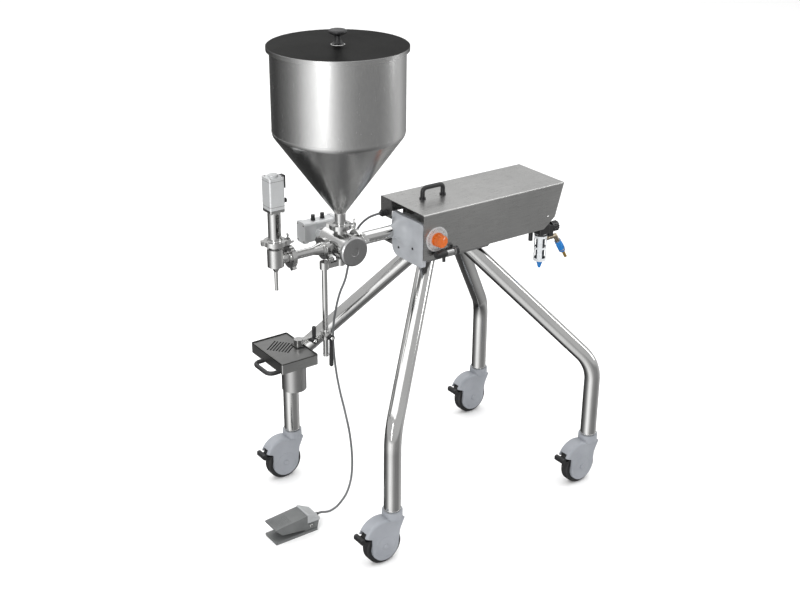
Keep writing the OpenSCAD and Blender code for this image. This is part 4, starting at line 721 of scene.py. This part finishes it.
WASHER_SIDES = 64
WASHER = [(0, 0.2), (20, 0.2), (20, 0.9), (19.4, 1.5), (17.2, 1.5), (17.2, 0.4), (0, 0.4)]
lid_top = at(0, 0, corners("hopper_lid")[1].z)
lid_washer = turned("lid_washer", WASHER, lid_top, UP, "lid", *BRIGHT, WASHER_SIDES)
print("lid washer:", len(lid_washer.data.polygons), "faces")

# %% [markdown]
# What repeats is placed by Geometry Nodes. One small tree sets copies of an item round a circle, another
# along a line. Both take their sizes as named inputs, so the same tree serves for screws, ticks, treads and
# ribs. The copies are made real and get their material in the tree, and the result becomes a plain mesh,
# because instances are lost when the model is exported.

# %% Trees that repeat
TREE_INPUTS = {
    "Geometry": "NodeSocketGeometry", "Count": "NodeSocketInt", "Radius": "NodeSocketFloat",
    "Step": "NodeSocketVector", "Size Change": "NodeSocketFloat", "Seed": "NodeSocketInt",
    "Item": "NodeSocketObject", "Finish": "NodeSocketMaterial",
}


def circle_of_places(tree, given, copies):
    """The points of a circle, and for each copy a turn outward: its own share of a full turn."""
    make, link = tree.nodes.new, tree.links.new
    places = make("GeometryNodeMeshCircle")
    link(given.outputs["Count"], places.inputs["Vertices"])
    link(given.outputs["Radius"], places.inputs["Radius"])
    number = make("GeometryNodeInputIndex")
    share = make("ShaderNodeMath")
    share.operation = "DIVIDE"
    link(number.outputs[0], share.inputs[0])
    link(given.outputs["Count"], share.inputs[1])
    angle = make("ShaderNodeMath")
    angle.operation = "MULTIPLY"
    angle.inputs[1].default_value = 2 * math.pi
    link(share.outputs[0], angle.inputs[0])
    spin = make("ShaderNodeCombineXYZ")
    link(angle.outputs[0], spin.inputs["Z"])
    link(spin.outputs[0], copies.inputs["Rotation"])
    return places


def row_of_places(tree, given):
    """The points of a line, one step apart."""
    places = tree.nodes.new("GeometryNodeMeshLine")
    tree.links.new(given.outputs["Count"], places.inputs["Count"])
    tree.links.new(given.outputs["Step"], places.inputs["Offset"])
    return places


def repeat_tree(name, round_circle):
    """Copies of an item round a circle or along a line, some made smaller by Size Change."""
    tree = bpy.data.node_groups.new(name, "GeometryNodeTree")
    for label, kind in TREE_INPUTS.items():
        tree.interface.new_socket(label, in_out="INPUT", socket_type=kind)
    tree.interface.new_socket("Geometry", in_out="OUTPUT", socket_type="NodeSocketGeometry")
    make, link = tree.nodes.new, tree.links.new
    given, result = make("NodeGroupInput"), make("NodeGroupOutput")
    item = make("GeometryNodeObjectInfo")
    copies = make("GeometryNodeInstanceOnPoints")
    real = make("GeometryNodeRealizeInstances")
    paint = make("GeometryNodeSetMaterial")
    vary = make("FunctionNodeRandomValue")
    smallest = make("ShaderNodeMath")
    smallest.operation = "SUBTRACT"
    smallest.inputs[0].default_value = 1.0
    link(given.outputs["Size Change"], smallest.inputs[1])
    link(smallest.outputs[0], vary.inputs[2])
    vary.inputs[3].default_value = 1.0
    link(given.outputs["Seed"], vary.inputs["Seed"])
    places = circle_of_places(tree, given, copies) if round_circle else row_of_places(tree, given)
    link(given.outputs["Item"], item.inputs["Object"])
    link(places.outputs["Mesh"], copies.inputs["Points"])
    link(item.outputs["Geometry"], copies.inputs["Instance"])
    link(vary.outputs[1], copies.inputs["Scale"])
    link(copies.outputs[0], real.inputs[0])
    link(real.outputs[0], paint.inputs["Geometry"])
    link(given.outputs["Finish"], paint.inputs["Material"])
    link(paint.outputs[0], result.inputs[0])
    return tree


RING_TREE = repeat_tree("set_round", True)
ROW_TREE = repeat_tree("set_in_a_row", False)
print("trees:", RING_TREE.name, "and", ROW_TREE.name)

# %% [markdown]
# A tree is run by a modifier on an empty mesh. The modifier's inputs are set by their names, and the mesh
# that comes out is kept while the modifier, its holder and the item go.

# %% Run a tree


def repeated(name, tree, values, item_data, place, body, slot, material, smooth=SMOOTH_ANGLE):
    """Runs a tree on an item, carries the result to its place and leaves a plain mesh."""
    item = bpy.data.objects.new(name + "_item", item_data)
    bpy.context.scene.collection.objects.link(item)
    holder_data = bpy.data.meshes.new(name + "_holder")
    holder = bpy.data.objects.new(name + "_holder", holder_data)
    bpy.context.scene.collection.objects.link(holder)
    modifier = holder.modifiers.new("repeat", "NODES")
    modifier.node_group = tree
    values = dict(values, Item=item, Finish=material)
    for socket in tree.interface.items_tree:
        if socket.item_type == "SOCKET" and socket.in_out == "INPUT" and socket.name in values:
            modifier[socket.identifier] = values[socket.name]
    bpy.context.view_layer.update()
    seen = holder.evaluated_get(bpy.context.evaluated_depsgraph_get())
    data = bpy.data.meshes.new_from_object(seen)
    holder.modifiers.remove(modifier)
    bpy.data.objects.remove(holder)
    bpy.data.objects.remove(item)
    data.name = name
    data.transform(place)
    return settle(name, data, body, slot, material, smooth)


print("edges up to", SMOOTH_ANGLE, "degrees are smoothed")

# %% [markdown]
# Four small shapes serve for nearly everything that repeats: a screw, a nut, a bar and an open ring. The
# first two are lathe outlines, worked out from a radius. A bar has its edges bevelled, so that each catches
# a little light, and a ring is spun from an outline that never touches the axis.

# %% Screw, nut, bar and ring
SCREW = [(0, 0), (1, 0), (1, 0.35), (0.86, 0.62), (0.52, 0.72), (0.5, 0.72), (0.46, 0.36), (0, 0.36)]
SCREW_SIDES = 12
NUT = [(0, 0), (1, 0), (1, 0.8), (0.88, 1), (0.55, 1), (0.52, 1.25), (0, 1.3)]
NUT_SIDES = 6
BAR_BEVEL = 0.2
RING_SIDES = 48


def screw(radius):
    """A button-head screw with a hollow for the key, its radius in millimetres."""
    return lathe_mesh("screw", [(r * radius / 1000, z * radius / 1000) for r, z in SCREW], SCREW_SIDES)


def nut(radius, height):
    """A hexagonal nut with its corners turned off and a thread end in the middle, in millimetres."""
    return lathe_mesh("nut", [(r * radius / 1000, z * height / 1000) for r, z in NUT], NUT_SIDES)


def bar_mesh(name, across, along, thick, out=0.0):
    """A small bar with bevelled edges, along X from a distance out, in millimetres."""
    work = bmesh.new()
    made = bmesh.ops.create_cube(work, size=1)
    for vert in made["verts"]:
        x = vert.co.x * along + out + along / 2
        vert.co = Vector((x, vert.co.y * across, vert.co.z * thick + thick / 2)) / 1000
    bevel = min(across, thick) * BAR_BEVEL / 1000
    bmesh.ops.bevel(work, geom=work.edges[:], offset=bevel, segments=1, affect="EDGES")
    return finished_mesh(name, work)


def band_mesh(name, loops):
    """A closed band through loops of equally many points, the last loop joined to the first."""
    work = bmesh.new()
    rows = [[work.verts.new(point) for point in loop] for loop in loops]
    for first, second in zip(rows, rows[1:] + rows[:1]):
        for k in range(len(first)):
            n = (k + 1) % len(first)
            work.faces.new((first[k], first[n], second[n], second[k]))
    return finished_mesh(name, work)


def ring(name, outline, place, way, body, slot, material, sides=RING_SIDES):
    """One open ring spun from an outline in millimetres, set at a place."""
    data = band_mesh(name, [circle_points(r / 1000, z / 1000, sides) for r, z in outline])
    data.transform(facing(place, way))
    return settle(name, data, body, slot, material, SMOOTH_ANGLE)


print("sides of a screw, a nut and a ring:", SCREW_SIDES, NUT_SIDES, RING_SIDES)

# %% [markdown]
# The nozzle's square air cylinder is held together by four tie rods: their screw heads sit in the corners of
# the top plate, and their nuts show under the foot of the lantern. A dark joint line runs round the cylinder
# where each cap meets the tube. It is a thin band that follows the block's rounded corners.

# %% Tie rods and joints of the nozzle's cylinder
NOZZLE_X = middle("nozzle_cylinder").x
ROD_SPACING = 35.0
ROD_CIRCLE = {"Count": 4, "Radius": ROD_SPACING / 2 * math.sqrt(2) / 1000}
ROD_TURN = math.radians(45)
CAP_TOP, FOOT_UNDERSIDE = 1156.8, 1058.2
JOINTS = {"nozzle_joint_low": 1075, "nozzle_joint_high": 1148}
BLOCK_SIDE, BLOCK_CORNER = 47, 5
JOINT_HIGH, JOINT_PROUD, JOINT_DEEP = 0.8, 0.12, 0.4
CORNER_STEPS = 6

cap_place = facing(at(NOZZLE_X, 0, CAP_TOP), UP, ROD_TURN)
foot_place = facing(at(NOZZLE_X, 0, FOOT_UNDERSIDE), DOWN, ROD_TURN)
repeated("nozzle_cap_screws", RING_TREE, ROD_CIRCLE, screw(3.4), cap_place, "stand", *BRIGHT)
repeated("nozzle_foot_nuts", RING_TREE, ROD_CIRCLE, nut(4.0, 3.2), foot_place, "stand", *BRIGHT)


def rounded_square(grow, height):
    """The block's outline with its rounded corners, grown by a distance, at a height, all in millimetres."""
    middle = (BLOCK_SIDE / 2 - BLOCK_CORNER) / 1000
    radius = (BLOCK_CORNER + grow) / 1000
    points = []
    for x_side, y_side, start in ((1, 1, 0), (-1, 1, 90), (-1, -1, 180), (1, -1, 270)):
        for k in range(CORNER_STEPS + 1):
            angle = math.radians(start + 90 * k / CORNER_STEPS)
            x = x_side * middle + radius * math.cos(angle)
            y = y_side * middle + radius * math.sin(angle)
            points.append((x, y, height / 1000))
    return points


for joint, level in JOINTS.items():
    band = band_mesh(joint, [
        rounded_square(-JOINT_DEEP, 0), rounded_square(JOINT_PROUD, 0),
        rounded_square(JOINT_PROUD, JOINT_HIGH), rounded_square(-JOINT_DEEP, JOINT_HIGH),
    ])
    band.transform(facing(at(NOZZLE_X, 0, level), UP))
    settle(joint, band, "stand", *BLACK, SMOOTH_ANGLE)

# %% [markdown]
# The valve's actuator lies on its side, and each of its end plates is held by four screws. They are two rows
# of two, so the row tree lays them, once above the actuator's middle and once below it.

# %% Screws of the actuator
LOW, HIGH = corners("valve_actuator")
ACTUATOR_ENDS = {"actuator_screws_front": LOW.x, "actuator_screws_back": HIGH.x}
ACTUATOR_Y, ACTUATOR_Z = 123.5, (LOW.z + HIGH.z) / 2
ACROSS_PLATE, UP_PLATE = 32, 50
PLATE_ROW = {"Count": 2, "Step": (0.0, ACROSS_PLATE / 1000, 0.0)}

for plate, end_x in ACTUATOR_ENDS.items():
    outward = Matrix.Rotation(math.copysign(math.pi / 2, end_x), 4, "Y")
    for number, level in enumerate((ACTUATOR_Z - UP_PLATE / 2, ACTUATOR_Z + UP_PLATE / 2), 1):
        first = Matrix.Translation(at(end_x, ACTUATOR_Y - ACROSS_PLATE / 2, level))
        repeated(f"{plate}_{number}", ROW_TREE, PLATE_ROW, screw(3.2), first @ outward, "stand", *BRIGHT)
print("actuator plates:", len(ACTUATOR_ENDS))

# %% [markdown]
# The dial is a white ring with a scale. Its ticks are copies of one small bar, set all round the ring, with
# nine longer ones among them, and a white line on the orange knob points at them. The bars are real
# geometry, a quarter of a millimetre thick, so they stay when the model is exported.

# %% Dial scale and pointer
NEAR = (0, -1, 0)
DIAL = middle("dial_knob")
SCALE_FACE = corners("scale_ring")[0].y
KNOB_FACE = corners("dial_knob")[0].y
CAP_SUNK, POINTER_SUNK = 0.6, 0.4
TICKS, LONG_TICKS = 36, 9
TICK_THICK = 0.25
POINTER_TURN = math.radians(60)
DIAL_CAP = [(0, 0), (6.2, 0), (6.2, 0.5), (5.6, 0.9), (0, 1.0)]

for name, count, radius, across, along in (
        ("dial_ticks", TICKS, 0.0285, 0.7, 5.5),
        ("dial_long_ticks", LONG_TICKS, 0.0265, 1.1, 8.5)):
    repeated(name, RING_TREE, {"Count": count, "Radius": radius}, bar_mesh("tick", across, along, TICK_THICK),
             facing(at(DIAL.x, SCALE_FACE, DIAL.z), NEAR), "stand", *BLACK, smooth=None)
pointer = bar_mesh("dial_pointer", across=1.6, along=12, thick=0.4, out=5)
pointer.transform(facing(at(DIAL.x, KNOB_FACE + POINTER_SUNK, DIAL.z), NEAR, POINTER_TURN))
settle("dial_pointer", pointer, "volume_knob", "white_plastic", white_plastic)
turned("dial_cap", DIAL_CAP, at(DIAL.x, KNOB_FACE + CAP_SUNK, DIAL.z), NEAR,
       "volume_knob", "orange_plastic", orange_plastic)
print("dial:", TICKS, "ticks and", LONG_TICKS, "long ones")

# %% [markdown]
# A castor of this kind is moulded, and its small forms show: a domed cap over the axle on each side with a
# raised round line about it, rough ribs on the brake's tab, and a tread with fine cross ribs. The tread's
# ribs turn with the wheel, so they ride on the wheel's own body.

# %% Castor details
SIDES = ((-1, "near"), (1, "far"))
HOOD_SIDE = 23
AXLE_CAP = [(0, 0), (8.8, 0), (8.8, 1.2), (7.6, 2.4), (5.0, 3.3), (2.0, 3.7), (0, 3.8)]
DISC_LINE = [(33.2, -0.2), (33.6, 0.5), (35.0, 0.5), (35.4, -0.2)]
CAP_SIDES, LINE_SIDES = 40, 72
TREAD = {"Count": 72, "Radius": 0.0593}
TREAD_WIDTH = 16
BRAKE_ROW = {"Count": 5, "Step": (0.0, 0.006, 0.0)}
TAB_X, TAB_FIRST_Y, TAB_TOP = -85.5, -12, 111.4

for castor in CASTORS:
    wheel = middle(f"castor_{castor}_tyre")
    for side, word in SIDES:
        hood_face = at(wheel.x, wheel.y + side * HOOD_SIDE, wheel.z)
        turned(f"castor_{castor}_axle_cap_{word}", AXLE_CAP, hood_face, (0, side, 0),
               f"swivel_{castor}", "castor_grey", hood_plastic, CAP_SIDES)
        ring(f"castor_{castor}_disc_line_{word}", DISC_LINE, hood_face, (0, side, 0),
             f"swivel_{castor}", "castor_grey", hood_plastic, LINE_SIDES)
    tread_edge = at(wheel.x, wheel.y - TREAD_WIDTH / 2, wheel.z)
    tread_rib = bar_mesh("rib", across=1.6, along=0.6, thick=TREAD_WIDTH)
    repeated(f"castor_{castor}_tread_ribs", RING_TREE, TREAD, tread_rib, facing(tread_edge, (0, 1, 0)),
             f"wheel_{castor}", "tread_grey", tread_rubber, smooth=None)
    tab = Matrix.Translation(at(wheel.x + TAB_X, wheel.y + TAB_FIRST_Y, TAB_TOP))
    repeated(f"castor_{castor}_brake_ribs", ROW_TREE, BRAKE_ROW, bar_mesh("rib", 2.2, 11, 0.9),
             tab, f"brake_{castor}", *BLACK, smooth=None)
print("castors have caps, treads and brake ribs")

# %% [markdown]
# Welds. The hopper's neck, the bracket of the post and the lower end of each leg are welded by hand, and
# such a weld is a row of overlapping ripples: the ring tree lays it as many flat drops, each of a slightly
# different size. The round seams at the hopper's shoulder and rim are ground, so each is only a faint ring.

# %% Welds and seams
DROP_SEGMENTS, DROP_RINGS, DROP_RADIUS = 8, 5, 0.0005
NECK_WELD_Z, BRACKET_WELD_Z, LEG_END_Z = 1008.5, 868, 170.4
TRAIL = 38
SEAMS = {"shoulder_seam": 1255, "rim_weld": 1480}
SEAM = [(186.2, -1.2), (187.6, -0.7), (187.6, 0.7), (186.2, 1.2)]
SEAM_SIDES = 128


def drop_mesh(long, wide, high):
    """A low drop, the ripple of a weld, in millimetres."""
    work = bmesh.new()
    bmesh.ops.create_uvsphere(work, u_segments=DROP_SEGMENTS, v_segments=DROP_RINGS, radius=DROP_RADIUS)
    for vert in work.verts:
        vert.co = Vector((vert.co.x * wide, vert.co.y * long, vert.co.z * high))
    return finished_mesh("weld_drop", work)


def weld(name, centre, drop, count, radius, change, seed):
    """A round weld: many drops on a circle, its radius in metres."""
    values = {"Count": count, "Radius": radius, "Size Change": change, "Seed": seed}
    repeated(name, RING_TREE, values, drop, facing(centre, UP), "stand", *BRIGHT)


weld("neck_weld", at(0, 0, NECK_WELD_Z), drop_mesh(long=4.0, wide=2.4, high=2.6),
     count=44, radius=0.0163, change=0.25, seed=5)
weld("bracket_weld", at(0, 0, BRACKET_WELD_Z), drop_mesh(long=4.0, wide=2.2, high=2.4),
     count=36, radius=0.0139, change=0.25, seed=7)
for castor in CASTORS:
    wheel = middle(f"castor_{castor}_tyre")
    leg_end = at(wheel.x + TRAIL, wheel.y, LEG_END_Z)
    weld(f"leg_{castor}_end_weld", leg_end, drop_mesh(long=4.0, wide=2.0, high=2.2),
         count=64, radius=0.0253, change=0.3, seed=castor)
for seam, height in SEAMS.items():
    ring(seam, SEAM, at(0, 0, height), UP, "stand", "steel_satin", hopper_steel, SEAM_SIDES)
print("welds laid, and", len(SEAMS), "seams")

# %% [markdown]
# Each of the two clamp levers has a steel screw with a hexagonal head through its hub. The post that carries
# the tray ends in a turned ring, so that the arm can't slide off it.

# %% Screws of the levers and end of the post
LEVER_SCREW = [(0, 0), (5.6, 0), (5.6, 1.6), (5.0, 2.2), (2.8, 2.2), (2.5, 0.9), (0, 0.9)]
LEVER_Z = 637
POST_RING = [(8.0, 0), (9.4, 0.6), (9.4, 3.4), (8.0, 4.0)]
POST_RING_UP = 2

POST_X = middle("support_rod").x
LEVERS = {
    "rod_lever_screw": (POST_X, -36.6, "height_clamp"),
    "arm_lever_screw": (middle("arm_lever").x, -23.2, "tilt_clamp"),
}

for name, (x, y, body) in LEVERS.items():
    turned(name, LEVER_SCREW, at(x, y, LEVER_Z), NEAR, body, *BRIGHT, NUT_SIDES, smooth=None)
post_end = at(POST_X, 0, corners("support_rod")[0].z + POST_RING_UP)
ring("post_end_ring", POST_RING, post_end, UP, "stand", *BRIGHT)
print("levers and post done")

# %% [markdown]
# The housing is a folded sheet that lifts off with its handle. A screw near its rear end holds it on each
# side, and the near one shows in the photograph above the air unit. Two black screws hold the front plate.

# %% Screws of the housing
COVER_SCREW = [(0, 0), (3.4, 0), (3.4, 1.0), (2.8, 1.8), (1.5, 2.1), (1.4, 1.0), (0, 1.0)]
COVER_SCREW_X, COVER_SCREW_Z = 703, 883
COVER_SIDE = corners("housing_cover")[1].y - 0.1
PLATE_SCREW = [(0, 0), (3.3, 0), (3.3, 0.6), (3.0, 0.8), (1.7, 0.8), (1.6, 0.2), (0, 0.2)]
PLATE_FACE_X = 217.4
PLATE_SCREWS = {"plate_screw_near": (-55, 865), "plate_screw_far": (16, 846)}
SMALL_SIDES = 24

for side, word in SIDES:
    turned(f"cover_screw_{word}", COVER_SCREW, at(COVER_SCREW_X, side * COVER_SIDE, COVER_SCREW_Z),
           (0, side, 0), "stand", *BRIGHT)
for name, (y, z) in PLATE_SCREWS.items():
    turned(name, PLATE_SCREW, at(PLATE_FACE_X, y, z), FORWARD, "stand", *BLACK, SMALL_SIDES)
print("housing screwed down")

# %% [markdown]
# The quick coupling at the rear has a knurled blue sleeve that slides back. The knurls are ribs round its
# axis, so the ring tree makes them from one thin bar. Collars and a raised ring break up the plain cylinders
# of the plug, of the filter's bowl and of the regulator's knob, as on the real parts.

# %% Air unit details
KNURLS = {"Count": 30, "Radius": 0.0109}
KNURL_START, COLLAR_START, GROOVE_START = 0.040, 0.0595, 0.074
COUPLING_COLLAR = [(10.8, 0), (11.5, 0.4), (11.5, 2.6), (10.8, 3.0)]
PLUG_RING = [(4.9, 0), (5.9, 0.4), (5.9, 1.8), (4.9, 2.2)]
BOWL_COLLAR = [(19.8, 0), (20.9, 0.5), (20.9, 5.5), (19.8, 6)]
BOWL_COLLAR_Z = 813
REGULATOR_RING = [(15.4, 0), (17.4, 0.4), (17.4, 3.2), (15.4, 3.6)]
REGULATOR_RING_BACK = 8.3
coupling_blue = layered("coupling_blue", BLUE, [], rough=(0.26, 0.38))


def on_plug(distance):
    """A point on the coupling's axis, at a distance in metres from its start."""
    return PLUG_START + PLUG_WAY * distance


repeated("coupling_ribs", RING_TREE, KNURLS, bar_mesh("rib", 0.9, 0.5, 16),
         facing(on_plug(KNURL_START), PLUG_WAY), "stand", "brass", coupling_blue, smooth=None)
ring("coupling_collar", COUPLING_COLLAR, on_plug(COLLAR_START), PLUG_WAY, "stand", "brass", brass)
ring("plug_groove_ring", PLUG_RING, on_plug(GROOVE_START), PLUG_WAY, "stand", "brass", brass)
ring("bowl_collar", BOWL_COLLAR, at(BOWL_X, AIR_UNIT_Y, BOWL_COLLAR_Z), UP, "stand", *BLACK)
regulator_x = corners("regulator_knob")[0].x + REGULATOR_RING_BACK
regulator = at(regulator_x, AIR_UNIT_Y, middle("regulator_knob").z)
ring("regulator_ring", REGULATOR_RING, regulator, BACKWARD, "regulator", "black_gloss", black_gloss)
print("coupling has", KNURLS["Count"], "knurls")

# %% [markdown]
# Where the air line goes in, a small black collar holds it: one at the gland of the housing, one at the
# pedal. Each is a short turned piece that the hose leaves through its narrow end.

# %% Collars of the air line
GLAND_COLLAR = [(0, 0), (7.6, 0), (7.6, 4), (6.2, 8), (4.4, 9.5), (0, 9.5)]
PEDAL_COLLAR = [(0, 0), (6.0, 0), (6.0, 3), (4.6, 6), (0, 6)]
GLAND_FACE = at(201, 80, 940)
PEDAL_INLET = at(*HOSE_POINTS[-1])

turned("gland_collar", GLAND_COLLAR, GLAND_FACE, FORWARD, "stand", *BLACK, SMALL_SIDES)
turned("pedal_collar", PEDAL_COLLAR, PEDAL_INLET, BACKWARD, "stand", *BLACK, SMALL_SIDES)
print("air line is held at", GLAND_FACE, "and", PEDAL_INLET)

# %% [markdown]
# The pedal turns on a steel pin, whose heads show on both sides of its base. Nine ribs across the treadle
# give the shoe a grip. They lie on a slope, so each stands a little higher than the one before it.

# %% Pedal details
PIN_HEAD = [(0, 0), (5.4, 0), (5.4, 0.8), (4.6, 1.6), (0, 1.8)]
PEDAL_Y = middle("pedal_base").y
PEDAL_SIDE = corners("pedal_base")[1].y - PEDAL_Y
PIN_X, PIN_Z = -150, 24
TREADLE_ROW = {"Count": 9, "Step": (0.006, 0.0, 0.00052)}
TREADLE_START = at(-266, PEDAL_Y, 54.7)

for side, word in SIDES:
    turned(f"pedal_pin_{word}", PIN_HEAD, at(PIN_X, PEDAL_Y + side * PEDAL_SIDE, PIN_Z), (0, side, 0),
           "stand", *BRIGHT)
repeated("treadle_ribs", ROW_TREE, TREADLE_ROW, bar_mesh("rib", 44, 2.0, 0.7),
         Matrix.Translation(TREADLE_START), "pedal_plate", "pedal_grey", pedal_paint, smooth=None)
print("treadle has", TREADLE_ROW["Count"], "ribs")
